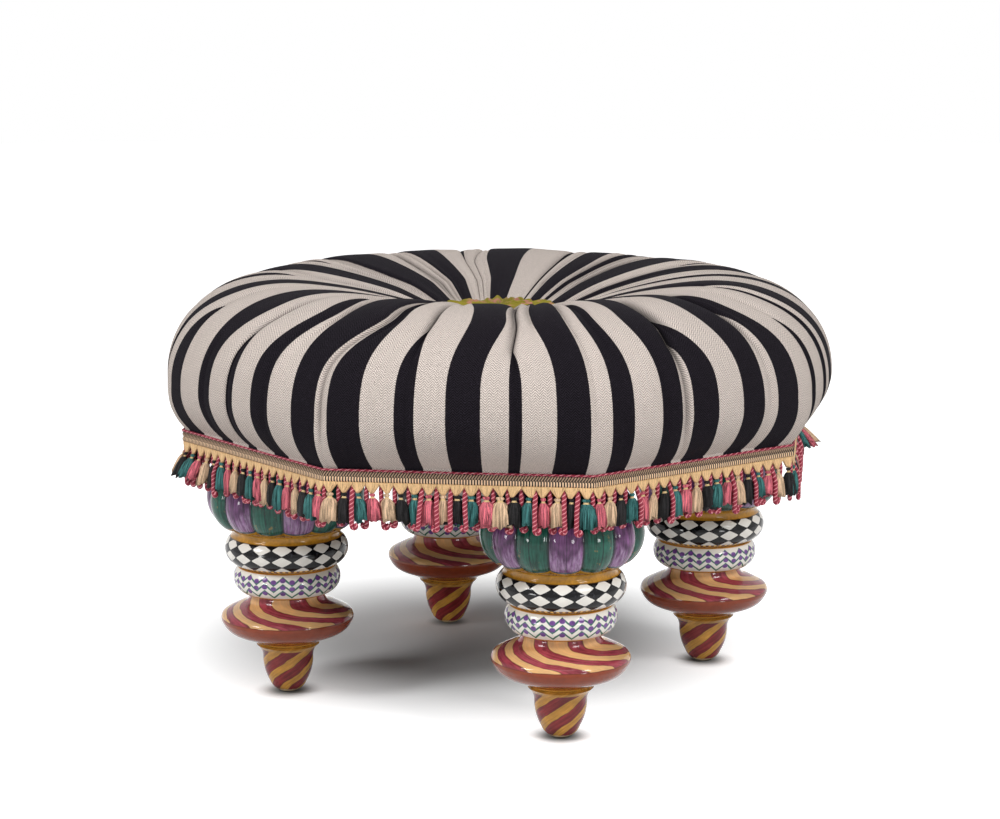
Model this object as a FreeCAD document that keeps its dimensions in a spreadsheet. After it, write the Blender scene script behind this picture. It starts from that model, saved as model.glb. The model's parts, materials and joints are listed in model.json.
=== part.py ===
import FreeCAD
import Part
import math
import os
import re
import Sketcher

# Fringed octagonal ottoman on four turned ceramic legs.
# Millimetres, +Z up, origin on the floor under the middle of the seat.
# The octagon has its corners at 0, 45, 90 ... degrees, and a leg stands under every second one.

SIZES = [
    ("leg_inset", 86, "each leg's axis nearer the middle of the seat than the rails' outer face"),
    ("rod_radius", 6, "threaded rod through each leg"),
    ("rod_play", 2, "room round the rod in the threaded-on pieces"),
    ("rod_hole_play", 0.5, "room round the rod in block and board"),
    ("rod_overrun", 1.5, "end of the rod above its nut"),
    ("socket_play", 0.3, "room round the rod in its socket in the finial"),
    ("socket_floor", 28, "bottom of the rod's socket above the floor"),
    ("gasket_thickness", 1.2, "cork ring between two ceramic pieces"),
    ("gasket_inset", 1.5, "how far the cork stays inside the narrower face"),
    ("finial_height", 60, "pointed foot"),
    ("finial_radius", 37, "foot at its shoulder"),
    ("finial_flare_radius", 31.4, "foot half way up its flare"),
    ("finial_waist_radius", 29.6, "foot where the flare begins"),
    ("finial_waist_height", 42, "foot of the flare above the floor"),
    ("finial_belly_radius", 27.8, "foot half way between its tip and its flare"),
    ("finial_tip_radius", 22, "foot where the round tip ends"),
    ("finial_tip_rise", 13, "height of the round tip"),
    ("finial_flat_radius", 5.5, "spot that meets the floor"),
    ("finial_tip_fullness", 0.72, "middle of the tip's curve, share of the tip's radius"),
    ("finial_tip_lift", 0.34, "middle of the tip's curve, share of the tip's rise"),
    ("finial_bevel", 2, "bevel at the foot's shoulder"),
    ("saucer_height", 58.6, "spinning-top piece above the foot"),
    ("saucer_foot_radius", 37.5, "saucer at its underside"),
    ("saucer_radius", 78, "saucer at its rim"),
    ("saucer_rim_rise", 31, "rim above the saucer's underside"),
    ("saucer_neck_radius", 43.5, "saucer at its top"),
    ("saucer_cone_inset", 16, "end of the sloping underside inside the rim"),
    ("saucer_cone_rise", 11.5, "end of the sloping underside above the saucer's foot"),
    ("saucer_cone_hollow", 0.8, "depth of the hollow in the sloping underside"),
    ("saucer_bowl_inset", 6.4, "middle of the bowl's curve inside the rim"),
    ("saucer_bowl_drop", 13.4, "middle of the bowl's curve below the rim"),
    ("saucer_rim_undercut", 1.6, "rim's lower edge inside the rim"),
    ("saucer_rim_below", 6, "rim's lower edge below the rim"),
    ("saucer_rim_slope", 4, "rim's upper edge inside the rim"),
    ("saucer_rim_above", 6.4, "rim's upper edge above the rim"),
    ("saucer_top_inset", 17, "middle of the top's slope inside the rim"),
    ("saucer_top_rise", 13, "middle of the top's slope above the rim"),
    ("saucer_flare_width", 4.5, "foot of the neck's flare outside the neck"),
    ("saucer_flare_height", 9, "neck's flare"),
    ("saucer_flare_hollow", 1.1, "middle of the flare outside the neck"),
    ("lattice_height", 33.4, "lower ring"),
    ("lattice_foot_radius", 46, "lower ring at its underside"),
    ("lattice_radius", 63, "lower ring at its widest"),
    ("lattice_top_radius", 56.5, "lower ring at its top"),
    ("lattice_belly", 0.56, "lower ring's widest place, share of its height"),
    ("check_height", 44, "upper ring with its collar"),
    ("check_foot_radius", 57, "upper ring at its underside"),
    ("check_radius", 72.5, "upper ring at its widest"),
    ("check_shoulder_radius", 65.5, "upper ring where the collar starts"),
    ("collar_height", 9.5, "hollow collar on the upper ring"),
    ("check_belly", 0.54, "upper ring's widest place, share of the height below the collar"),
    ("collar_radius", 66, "collar at its top"),
    ("collar_hollow", 2.2, "depth of the collar's hollow"),
    ("bulb_height", 100.2, "lobed bulb with its neck"),
    ("bulb_foot_radius", 68, "bulb at its underside"),
    ("bulb_radius", 91.5, "bulb at its widest"),
    ("bulb_lobes", 14, "lobes round the bulb"),
    ("lobe_depth", 6, "valley between two lobes"),
    ("bulb_neck_radius", 40, "neck that meets the leg plate"),
    ("bulb_neck_height", 16, "neck above the lobes"),
    ("plate_thickness", 3, "steel plate under each corner block"),
    ("plate_radius", 58, "steel plate"),
    ("screw_circle_radius", 49, "plate screws round the leg's axis"),
    ("screw_radius", 2.2, "wood screw's shank"),
    ("screw_head_radius", 4.4, "wood screw's head"),
    ("screw_head_height", 2.6, "wood screw's head"),
    ("screw_tip_length", 4, "wood screw's point"),
    ("screw_crown", 0.7, "flat top of the screw's head, share of its radius"),
    ("screw_edge", 0.4, "edge of the screw's head, share of its height"),
    ("plate_screw_length", 25, "screw under its head, plate into block"),
    ("frame_screw_length", 42, "screw under its head, board into rail"),
    ("hole_play", 0.1, "room round a screw in its pilot hole"),
    ("hole_overrun", 1, "pilot hole past the screw's point"),
    ("rail_apothem", 346, "middle of the seat to a rail's outer face"),
    ("rail_thickness", 22, "hardwood rail"),
    ("rail_height", 56, "hardwood rail"),
    ("board_thickness", 18, "plywood seat board"),
    ("block_width", 150, "corner block across the leg's direction"),
    ("block_inner_margin", 75, "block's inner face past the leg's axis"),
    ("block_screw_inset", 50, "board screws inside the rod, towards the middle of the seat"),
    ("block_screw_margin", 25, "board screws from the block's ends"),
    ("glue_block_leg", 45, "glue block along each rail"),
    ("counterbore_radius", 15, "well for washer and nut in the board"),
    ("counterbore_depth", 14, "well for washer and nut in the board"),
    ("washer_radius", 13, "washer on the rod"),
    ("washer_thickness", 2, "washer on the rod"),
    ("nut_radius", 10.5, "hexagon nut across its corners, halved"),
    ("nut_height", 8, "hexagon nut"),
    ("soft_gap", 0.3, "room round a soft piece"),
    ("cover_thickness", 1.8, "woven cover"),
    ("seat_overhang", 42.3, "seat at its widest past its hem, half way round a side"),
    ("crest_radius", 258, "ring where the cushion is highest"),
    ("cushion_height", 109, "crest above the board"),
    ("crown_power", 0.92, "fullness of the shoulder: 1 is an ellipse"),
    ("lip_radius", 76, "where the top turns down into the tuft"),
    ("lip_drop", 38, "crest to lip"),
    ("throat_radius", 67, "wall of the tuft"),
    ("throat_drop", 51, "crest to the cover's inner edge"),
    ("lip_fall_power", 1.6, "how late the top falls towards the lip: 1 is straight"),
    ("throat_bend_run", 0.25, "middle of the turn into the tuft, share of its width left"),
    ("throat_bend_fall", 0.3, "middle of the turn into the tuft, share of its fall"),
    ("pleats", 32, "sewn pleats round the cover"),
    ("pleat_depth", 7, "valley at a pleat"),
    ("hem_pleat_depth", 0.6, "valley at a pleat under the braid"),
    ("pleat_fullness", 0.6, "how soon the cloth swells beside a pleat: 1 is a plain wave"),
    ("wadding_thickness", 5, "cotton wadding over the foam"),
    ("tuft_twine_radius", 1.5, "twine that holds the tuft down"),
    ("twine_knot_radius", 4, "knot under the toggle"),
    ("twine_hole_radius", 4, "hole in the board for the twine"),
    ("toggle_radius", 18, "wooden toggle under the board"),
    ("toggle_thickness", 5, "wooden toggle under the board"),
    ("tuft_floor_drop", 0.75, "foam's hollow below the cover's inner edge"),
    ("rosette_clearance", 0.6, "rosette inside the throat"),
    ("rosette_height", 14, "rosette's crown above its seat"),
    ("rosette_eye_radius", 3, "flat spot in the middle of the rosette"),
    ("rosette_rim_rise", 8.5, "rosette's rim"),
    ("rosette_foot_inset", 1.5, "rosette's underside inside its widest place"),
    ("rosette_rim_inset", 1, "rosette's rim inside its widest place"),
    ("rosette_crown", 0.55, "middle of the crown's curve, share of the rosette's radius"),
    ("rosette_crown_drop", 1.6, "middle of the crown's curve below its top"),
    ("former_play", 0.2, "room round the former"),
    ("rosette_cloth", 4, "padded cloth over the former"),
    ("former_thickness", 6, "wooden former inside the rosette"),
    ("dust_cover_thickness", 0.8, "black cloth under the frame"),
    ("dust_cover_inset", 3, "cloth edge inside the rails' outer face"),
    ("braid_thickness", 1.8, "woven band"),
    ("braid_height", 11.6, "woven band"),
    ("braid_top_rise", 14, "band's top above the underside of the frame"),
    ("lip_cord_radius", 1.6, "twisted cord on the band's top"),
    ("header_height", 11.6, "scalloped heading below the band"),
    ("header_notch_rise", 8.5, "notch between two scallops"),
    ("header_tip_width", 2.4, "scallop's tip that holds a tassel"),
    ("tassels_per_side", 19, "tassels on each side of the octagon"),
    ("tassel_head_height", 3.4, "tied head of a tassel"),
    ("tassel_neck_height", 4.6, "head and bound neck down to the skirt"),
    ("tassel_head_radius", 2.9, "tied head of a tassel"),
    ("tassel_neck_radius", 1.8, "bound neck of a tassel"),
    ("tassel_skirt_length", 26, "skirt of a tassel"),
    ("tassel_skirt_radius", 5.2, "skirt of a tassel at its hem"),
    ("tassel_top_share", 0.8, "top of the head, share of the neck's radius"),
    ("bullion_half_width", 1.7, "twisted cord between two tassels"),
    ("bullion_length", 48, "twisted cord between two tassels"),
    ("bullion_end_share", 0.5, "end of the loop, share of the cord's width"),
]

SIDES = 8
SIDE_ANGLE = 360 / SIDES
HALF_SIDE_ANGLE = SIDE_ANGLE / 2
LEG_ANGLES = {1: 225, 2: 315, 3: 45, 4: 135}
TASSEL_COLOURS = ("teal", "rose", "cream", "black")
TAN_HALF = f"tan({HALF_SIDE_ANGLE} deg)"
COS_HALF = f"cos({HALF_SIDE_ANGLE} deg)"
SIN_HALF = f"sin({HALF_SIDE_ANGLE} deg)"

LEG_CIRCLE = "(rail_apothem - leg_inset)"
SAUCER_FOOT = "(finial_height + gasket_thickness)"
SAUCER_TOP = f"({SAUCER_FOOT} + saucer_height)"
LATTICE_FOOT = f"({SAUCER_TOP} + gasket_thickness)"
LATTICE_TOP = f"({LATTICE_FOOT} + lattice_height)"
CHECK_FOOT = f"({LATTICE_TOP} + gasket_thickness)"
CHECK_TOP = f"({CHECK_FOOT} + check_height)"
BULB_FOOT = f"({CHECK_TOP} + gasket_thickness)"
PLATE_FOOT = f"({BULB_FOOT} + bulb_height)"
FRAME_FOOT = f"({PLATE_FOOT} + plate_thickness)"
RAIL_TOP = f"({FRAME_FOOT} + rail_height)"
BOARD_TOP = f"({RAIL_TOP} + board_thickness)"
COUNTERBORE_FLOOR = f"({BOARD_TOP} - counterbore_depth)"
BRAID_TOP = f"({FRAME_FOOT} + braid_top_rise)"
BRAID_FOOT = f"({BRAID_TOP} - braid_height)"
HEADER_FOOT = f"({BRAID_FOOT} - header_height)"
HEM_TOP = f"({BRAID_TOP} + 2 * lip_cord_radius + soft_gap)"
HEM_RADIUS = "(rail_apothem + soft_gap + cover_thickness + hem_pleat_depth)"
SEAT_RADIUS = f"({HEM_RADIUS} + seat_overhang)"
BRAID_APOTHEM = f"({HEM_RADIUS} + soft_gap)"
THROAT_END = f"({BOARD_TOP} + cushion_height - throat_drop)"
TUFT_FLOOR = f"({THROAT_END} - tuft_floor_drop)"
FORMER_FOOT = f"({TUFT_FLOOR} + soft_gap)"
ROSETTE_RADIUS = "(throat_radius - rosette_clearance)"
BORE = "(rod_radius + rod_play)"

V = FreeCAD.Vector
UP = V(0, 0, 1)
doc = FreeCAD.newDocument("Ottoman")
sheet = doc.addObject("Spreadsheet::Sheet", "Sizes")
for row, (alias, number, note) in enumerate(SIZES, start=1):
    sheet.set(f"A{row}", note)
    sheet.set(f"B{row}", str(number))
    sheet.setAlias(f"B{row}", alias)
doc.recompute()

ALIASES = {alias for alias, number, note in SIZES}
parts = {}


def bound(expression):
    """The expression with each size's name pointed at its cell in the sheet."""
    return re.sub(r"[a-z_]+", lambda m: f"Sizes.{m[0]}" if m[0] in ALIASES else m[0], str(expression))


def size(expression):
    """The value of an expression of sizes."""
    return float(sheet.evalExpression(bound(expression)))


def bind(thing, **properties):
    """Ties properties of an object to expressions of sizes."""
    for name, expression in properties.items():
        thing.setExpression(name, bound(expression))


def settle(thing, height="0", radius="0", angle=0, turn=None):
    """Stands an object at a height, at a radius in the direction of angle, turned by turn degrees."""
    thing.Placement = FreeCAD.Placement(V(), FreeCAD.Rotation(UP, angle if turn is None else turn))
    thing.setExpression("Placement.Base.x", bound(f"{radius} * cos({angle} deg)"))
    thing.setExpression("Placement.Base.y", bound(f"{radius} * sin({angle} deg)"))
    thing.setExpression("Placement.Base.z", bound(height))


def keep(label, thing):
    """Names a finished sub-part."""
    thing.Label = label
    parts[label] = thing
    return thing


def pin(sketch, geometry, point, x, y):
    """Ties a sketch point to expressions for x and y."""
    for kind, axis, expression in (("DistanceX", -2, x), ("DistanceY", -1, y)):
        if abs(size(expression)) < 1e-9:
            sketch.addConstraint(Sketcher.Constraint("PointOnObject", geometry, point, axis))
        else:
            number = sketch.addConstraint(
                Sketcher.Constraint(kind, -1, 1, geometry, point, size(expression))
            )
            sketch.setExpression(f"Constraints[{number}]", bound(expression))


def add_outline(sketch, corners):
    """Draws a closed outline. A corner is (x, y), or (x, y, middle x, middle y) where an arc leads to it."""
    spots = [V(size(corner[0]), size(corner[1]), 0) for corner in corners]
    drawn = []
    for index, corner in enumerate(corners):
        before, here = spots[index - 1], spots[index]
        if len(corner) == 4:
            middle = V(size(corner[2]), size(corner[3]), 0)
            edge = sketch.addGeometry(Part.Arc(before, middle, here), False)
            mark = sketch.addGeometry(Part.Point(middle), True)
            pin(sketch, mark, 1, corner[2], corner[3])
            sketch.addConstraint(Sketcher.Constraint("PointOnObject", mark, 1, edge))
            ends = (1, 2) if (sketch.getPoint(edge, 1) - before).Length < 1e-6 else (2, 1)
        else:
            edge = sketch.addGeometry(Part.LineSegment(before, here), False)
            ends = (1, 2)
        drawn.append((edge, ends))
    for index, (edge, ends) in enumerate(drawn):
        following, starts = drawn[(index + 1) % len(drawn)]
        sketch.addConstraint(
            Sketcher.Constraint("Coincident", edge, ends[1], following, starts[0])
        )
        pin(sketch, edge, ends[1], corners[index][0], corners[index][1])


def add_circle(sketch, x, y, radius):
    """Draws a circle tied to expressions."""
    circle = sketch.addGeometry(Part.Circle(V(size(x), size(y), 0), UP, size(radius)), False)
    pin(sketch, circle, 3, x, y)
    number = sketch.addConstraint(Sketcher.Constraint("Radius", circle, size(radius)))
    sketch.setExpression(f"Constraints[{number}]", bound(radius))


def sketch_on(body, role, name):
    """A sketch on one of the body's own origin planes."""
    sketch = body.newObject("Sketcher::SketchObject", name)
    plane = next(f for f in body.Origin.OriginFeatures if f.Role == role)
    sketch.AttachmentSupport = [(plane, "")]
    sketch.MapMode = "FlatFace"
    return sketch


def repeat(body, feature, copies):
    """Copies a feature round the body's Z axis."""
    pattern = body.newObject("PartDesign::PolarPattern", f"{feature.Name}_round")
    pattern.Originals = [feature]
    axis = next(f for f in body.Origin.OriginFeatures if f.Role == "Z_Axis")
    pattern.Axis = (axis, [""])
    pattern.Angle = 360
    pattern.Occurrences = copies
    body.Tip = pattern


def turned(label, outlines, axis_x="0", copies=1):
    """A body turned from outlines drawn as radius and height about a vertical axis at axis_x."""
    body = doc.addObject("PartDesign::Body", label)
    body.AllowCompound = True
    sketch = sketch_on(body, "XZ_Plane", f"{label}_profile")
    for corners in outlines:
        add_outline(sketch, corners)
    spin = body.newObject("PartDesign::Revolution", f"{label}_turning")
    spin.Profile = sketch
    if size(axis_x) == 0:
        spin.ReferenceAxis = (sketch, ["V_Axis"])
    else:
        line = sketch.addGeometry(Part.LineSegment(V(size(axis_x), 0, 0), V(size(axis_x), 9, 0)), True)
        pin(sketch, line, 1, axis_x, "0")
        pin(sketch, line, 2, axis_x, "9")
        spin.ReferenceAxis = (sketch, ["Axis0"])
    spin.Angle = 360
    body.Tip = spin
    if copies > 1:
        repeat(body, spin, copies)
    return keep(label, body)


def sawn(label, corners, height, circles=(), copies=1):
    """A body cut from a board: its outline, with round holes right through, hangs height below its origin."""
    body = doc.addObject("PartDesign::Body", label)
    body.AllowCompound = True
    sketch = sketch_on(body, "XY_Plane", f"{label}_outline")
    if corners:
        add_outline(sketch, corners)
    for x, y, radius in circles:
        add_circle(sketch, x, y, radius)
    pad = body.newObject("PartDesign::Pad", f"{label}_thickness")
    pad.Profile = sketch
    pad.Reversed = True
    bind(pad, Length=height)
    body.Tip = pad
    if copies > 1:
        repeat(body, pad, copies)
    return keep(label, body)


def drilled(body, circles, depth, from_below=None):
    """Blind round holes from the body's top, or from below, its thickness being given."""
    name = f"{body.Name}_{'lower' if from_below else 'upper'}_holes{len(body.Group)}"
    sketch = sketch_on(body, "XY_Plane", name)
    if from_below:
        sketch.setExpression("AttachmentOffset.Base.z", bound(f"-({from_below})"))
    for x, y, radius in circles:
        add_circle(sketch, x, y, radius)
    pocket = body.newObject("PartDesign::Pocket", f"{name}_cut")
    pocket.Profile = sketch
    pocket.Reversed = bool(from_below)
    bind(pocket, Length=depth)
    body.Tip = pocket


def shaped(label, shape):
    """A sub-part whose shape is worked out by formulas."""
    feature = doc.addObject("Part::Feature", label)
    feature.Shape = shape
    return keep(label, feature)


def polar(radius, angle, height=0.0):
    """The point at a radius, an angle in degrees and a height."""
    return V(radius * math.cos(math.radians(angle)), radius * math.sin(math.radians(angle)), height)


def placed(shape, spot, angle=0.0):
    """A copy of a shape, turned about Z and moved to a spot."""
    copy = shape.copy()
    copy.Placement = FreeCAD.Placement(spot, FreeCAD.Rotation(UP, angle))
    return copy


def stacked_prism(levels, corners, first_angle):
    """A flat-faced solid through regular polygons at (radius, height) levels."""
    rings = []
    for radius, height in levels:
        rings.append([polar(radius, first_angle + 360 / corners * k, height) for k in range(corners)])
    faces = [Part.Face(Part.makePolygon(ring + ring[:1])) for ring in (rings[0], rings[-1])]
    for lower, upper in zip(rings, rings[1:]):
        for k in range(corners):
            after = (k + 1) % corners
            quad = [lower[k], lower[after], upper[after], upper[k], lower[k]]
            faces.append(Part.Face(Part.makePolygon(quad)))
    solid = Part.makeSolid(Part.makeShell(faces))
    if solid.Volume < 0:
        solid.reverse()
    return solid


def ring_of(corners):
    """The corners of an outline about a vertical axis at the leg circle, from (radius, height) pairs."""
    return [(f"{LEG_CIRCLE} + {radius}", height) for radius, height in corners]


# Legs: each piece is threaded on a rod that stands in a socket in the pointed foot.

def foot_finial(number, angle):
    """Pointed foot with a blind socket for the rod."""
    rim = "(rod_radius + socket_play)"
    body = turned(f"foot_finial_{number}", [[
        ("0", "0"),
        ("finial_flat_radius", "0"),
        ("finial_tip_radius", "finial_tip_rise", "finial_tip_radius * finial_tip_fullness",
         "finial_tip_rise * finial_tip_lift"),
        ("finial_waist_radius", "finial_waist_height", "finial_belly_radius",
         "(finial_tip_rise + finial_waist_height) / 2"),
        ("finial_radius", "finial_height - finial_bevel", "finial_flare_radius",
         "(finial_waist_height + finial_height) / 2"),
        ("finial_radius - finial_bevel", "finial_height"),
        (rim, "finial_height"),
        (rim, "socket_floor"),
        ("0", "socket_floor"),
    ]])
    settle(body, radius=LEG_CIRCLE, angle=angle)


def saucer(number, angle):
    """Spinning-top piece: a wide rim between a sloping underside and a sloping top with a flared neck."""
    cone_end = "(saucer_radius - saucer_cone_inset)"
    flare_foot = "(saucer_height - saucer_flare_height)"
    body = turned(f"saucer_{number}", [[
        (BORE, "0"),
        ("saucer_foot_radius", "0"),
        (cone_end, "saucer_cone_rise",
         f"(saucer_foot_radius + {cone_end}) / 2", "saucer_cone_rise / 2 + saucer_cone_hollow"),
        ("saucer_radius - saucer_rim_undercut", "saucer_rim_rise - saucer_rim_below",
         "saucer_radius - saucer_bowl_inset", "saucer_rim_rise - saucer_bowl_drop"),
        ("saucer_radius - saucer_rim_slope", "saucer_rim_rise + saucer_rim_above",
         "saucer_radius", "saucer_rim_rise"),
        ("saucer_neck_radius + saucer_flare_width", flare_foot,
         "saucer_radius - saucer_top_inset", "saucer_rim_rise + saucer_top_rise"),
        ("saucer_neck_radius", "saucer_height",
         "saucer_neck_radius + saucer_flare_hollow", "saucer_height - saucer_flare_height / 2"),
        (BORE, "saucer_height"),
    ]])
    settle(body, SAUCER_FOOT, LEG_CIRCLE, angle)


def lattice_ring(number, angle):
    """Lower bulging ring."""
    body = turned(f"lattice_ring_{number}", [[
        (BORE, "0"),
        ("lattice_foot_radius", "0"),
        ("lattice_top_radius", "lattice_height", "lattice_radius", "lattice_height * lattice_belly"),
        (BORE, "lattice_height"),
    ]])
    settle(body, LATTICE_FOOT, LEG_CIRCLE, angle)


def check_ring(number, angle):
    """Upper bulging ring with a hollow collar."""
    shoulder = "(check_height - collar_height)"
    body = turned(f"check_ring_{number}", [[
        (BORE, "0"),
        ("check_foot_radius", "0"),
        ("check_shoulder_radius", shoulder, "check_radius", f"{shoulder} * check_belly"),
        ("collar_radius", "check_height",
         "collar_radius - collar_hollow", "check_height - collar_height / 2"),
        (BORE, "check_height"),
    ]])
    settle(body, CHECK_FOOT, LEG_CIRCLE, angle)


# Rings of the bulb: share of its height, share of its swelling, and share of a lobe's depth.
BULB_RINGS = (
    (0.0, 0.0, 0.3),
    (0.07, 0.55, 0.65),
    (0.22, 0.86, 0.9),
    (0.45, 1.0, 1.0),
    (0.68, 0.85, 0.9),
    (0.86, 0.42, 0.65),
    (1.0, -0.3, 0.3),
)


def lobed_bulb_shape():
    """Bulb of round lobes: a loft through scalloped rings, each of one arc to a lobe, with a plain neck."""
    lobes = round(size("bulb_lobes"))
    foot, widest = size("bulb_foot_radius"), size("bulb_radius")
    body_height = size("bulb_height - bulb_neck_height")
    rings = []
    for rise, fullness, depth_share in BULB_RINGS:
        outer = foot + (widest - foot) * fullness
        valley = outer - size("lobe_depth") * depth_share
        height = body_height * rise
        edges = []
        for k in range(lobes):
            start, middle, end = [360 / lobes * (k + share) for share in (0, 0.5, 1)]
            spots = [polar(valley, start, height), polar(outer, middle, height), polar(valley, end, height)]
            edges.append(Part.Arc(*spots).toShape())
        rings.append(Part.Wire(edges))
    lobed = Part.makeLoft(rings, True, False)
    neck = Part.makeCylinder(size("bulb_neck_radius"), size("bulb_neck_height"), V(0, 0, body_height))
    bore = Part.makeCylinder(size(BORE), size("bulb_height"))
    return lobed.fuse(neck).cut(bore).Solids[0]


def lobed_bulb(number, angle, shape):
    """One bulb, with a lobe facing out from the seat."""
    feature = shaped(f"lobed_bulb_{number}", shape)
    settle(feature, BULB_FOOT, LEG_CIRCLE, angle)


def leg_gaskets():
    """Cork rings in the four joints of each leg."""
    joints = (
        ("finial_height", "finial_radius - finial_bevel"),
        (SAUCER_TOP, "saucer_neck_radius"),
        (LATTICE_TOP, "lattice_top_radius"),
        (CHECK_TOP, "collar_radius"),
    )
    outlines = []
    for foot, face in joints:
        edge, top = f"({face} - gasket_inset)", f"{foot} + gasket_thickness"
        outlines.append(ring_of([(BORE, foot), (edge, foot), (edge, top), (BORE, top)]))
    settle(turned("leg_gaskets", outlines, LEG_CIRCLE, len(LEG_ANGLES)), turn=SIDE_ANGLE)


def leg_rods():
    """Threaded rods, from the socket in the foot to the nut above the board."""
    top = f"({COUNTERBORE_FLOOR} + washer_thickness + nut_height + rod_overrun)"
    corners = [("0", "socket_floor"), ("rod_radius", "socket_floor"), ("rod_radius", top), ("0", top)]
    settle(turned("leg_rods", [ring_of(corners)], LEG_CIRCLE, len(LEG_ANGLES)), turn=SIDE_ANGLE)


def washers_and_nuts():
    """Washer and hexagon nut on each rod, down in the board's counterbore."""
    hole = "(rod_radius + hole_play)"
    foot, top = COUNTERBORE_FLOOR, f"({COUNTERBORE_FLOOR} + washer_thickness)"
    corners = [(hole, foot), ("washer_radius", foot), ("washer_radius", top), (hole, top)]
    washers = turned("top_washers", [ring_of(corners)], LEG_CIRCLE, len(LEG_ANGLES))
    settle(washers, turn=SIDE_ANGLE)
    hexagon = []
    for k in range(6):
        turn = 60 * k
        hexagon.append((f"{LEG_CIRCLE} + nut_radius * cos({turn} deg)", f"nut_radius * sin({turn} deg)"))
    nuts = sawn("top_nuts", hexagon, "nut_height", [(LEG_CIRCLE, "0", hole)], len(LEG_ANGLES))
    settle(nuts, f"{top} + nut_height", turn=SIDE_ANGLE)


def plate_holes(centre_x, radius):
    """Four screw holes round a leg's axis."""
    holes = []
    for k in range(4):
        turn = SIDE_ANGLE + 90 * k
        x = f"{centre_x} + screw_circle_radius * cos({turn} deg)"
        holes.append((x, f"screw_circle_radius * sin({turn} deg)", radius))
    return holes


def leg_plates():
    """Steel plates that take the push of the legs under the corner blocks."""
    circles = [(LEG_CIRCLE, "0", radius) for radius in ("plate_radius", "(rod_radius + hole_play)")]
    circles += plate_holes(LEG_CIRCLE, "(screw_radius + hole_play)")
    plates = sawn("leg_plates", None, "plate_thickness", circles, len(LEG_ANGLES))
    settle(plates, FRAME_FOOT, turn=SIDE_ANGLE)


def screw(length, upward):
    """A pan-headed wood screw with the face under its head at zero, pointing up (1) or down (-1)."""
    shank, head = size("screw_radius"), size("screw_head_radius")
    high, tip = size("screw_head_height"), size("screw_tip_length")
    crown, edge = head * size("screw_crown"), high * size("screw_edge")
    outline = ((0, -high), (crown, -high), (head, -edge), (head, 0), (shank, 0),
               (shank, length - tip), (0, length))
    corners = [V(radius, 0, upward * height) for radius, height in outline]
    return Part.Face(Part.makePolygon(corners + corners[:1])).revolve(V(), UP, 360)


def plate_screws():
    """Screws up through the plates into the corner blocks."""
    pattern = screw(size("plate_screw_length"), 1)
    screws = []
    for angle in LEG_ANGLES.values():
        centre = polar(size(LEG_CIRCLE), angle, size(PLATE_FOOT))
        for k in range(4):
            screws.append(placed(pattern, centre + polar(size("screw_circle_radius"), angle + 45 + 90 * k)))
    shaped("plate_screws", Part.makeCompound(screws))


# Frame: mitred rails, corner blocks over the legs, glue blocks in the other corners, and the board.

RAIL_INNER = "(rail_apothem - rail_thickness)"
RAIL_MIDDLE = "(rail_apothem - rail_thickness / 2)"
RAIL_SCREW_Y = f"(rail_apothem * {TAN_HALF} / 2)"
BLOCK_SCREW_X = f"({LEG_CIRCLE} - block_screw_inset)"
BLOCK_SCREW_Y = "(block_width / 2 - block_screw_margin)"
PILOT = "(screw_radius + hole_play)"
FRAME_PILOT_DEPTH = "frame_screw_length - board_thickness + screw_head_height + hole_overrun"
ROD_HOLE = "(rod_radius + rod_hole_play)"


def rail(number):
    """One side of the frame, mitred at both ends, with pilot holes in its top edge."""
    corners = [
        (RAIL_INNER, f"-{RAIL_INNER} * {TAN_HALF}"),
        ("rail_apothem", f"-rail_apothem * {TAN_HALF}"),
        ("rail_apothem", f"rail_apothem * {TAN_HALF}"),
        (RAIL_INNER, f"{RAIL_INNER} * {TAN_HALF}"),
    ]
    body = sawn(f"rail_{number}", corners, "rail_height")
    holes = [(RAIL_MIDDLE, f"{sign}{RAIL_SCREW_Y}", PILOT) for sign in ("", "-")]
    drilled(body, holes, FRAME_PILOT_DEPTH)
    settle(body, RAIL_TOP, turn=SIDE_ANGLE * number - HALF_SIDE_ANGLE)


def corner_block(number, angle):
    """Block that fills a corner of the frame over a leg."""
    half, inner = "block_width / 2", f"{LEG_CIRCLE} - block_inner_margin"
    side_x = f"({RAIL_INNER} - {half} * {SIN_HALF}) / {COS_HALF}"
    corners = [
        (inner, f"-{half}"),
        (side_x, f"-{half}"),
        (f"{RAIL_INNER} / {COS_HALF}", "0"),
        (side_x, half),
        (inner, half),
    ]
    body = sawn(f"corner_block_{number}", corners, "rail_height", [(LEG_CIRCLE, "0", ROD_HOLE)])
    upper = [(BLOCK_SCREW_X, f"{sign}{BLOCK_SCREW_Y}", PILOT) for sign in ("", "-")]
    drilled(body, upper, FRAME_PILOT_DEPTH)
    lower = plate_holes(LEG_CIRCLE, PILOT)
    drilled(body, lower, "plate_screw_length - plate_thickness + hole_overrun", "rail_height")
    settle(body, RAIL_TOP, turn=angle)


def glue_blocks():
    """Three-cornered blocks glued in the corners that have no leg."""
    tip = f"{RAIL_INNER} / {COS_HALF}"
    back = f"({tip} - glue_block_leg * {SIN_HALF})"
    half = f"(glue_block_leg * {COS_HALF})"
    blocks = sawn("glue_blocks", [(tip, "0"), (back, half), (back, f"-{half}")], "rail_height", copies=4)
    settle(blocks, RAIL_TOP)


def octagon(apothem):
    """The corners of an octagon with a corner on the X axis."""
    corners = []
    for k in range(SIDES):
        turn = SIDE_ANGLE * k
        corners.append(around(f"{apothem} / {COS_HALF}", "0", turn))
    return corners


def around(x, y, angle):
    """The expressions of a point turned about the middle of the seat."""
    across, along = f"cos({angle} deg)", f"sin({angle} deg)"
    return f"{x} * {across} - {y} * {along}", f"{x} * {along} + {y} * {across}"


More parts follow.
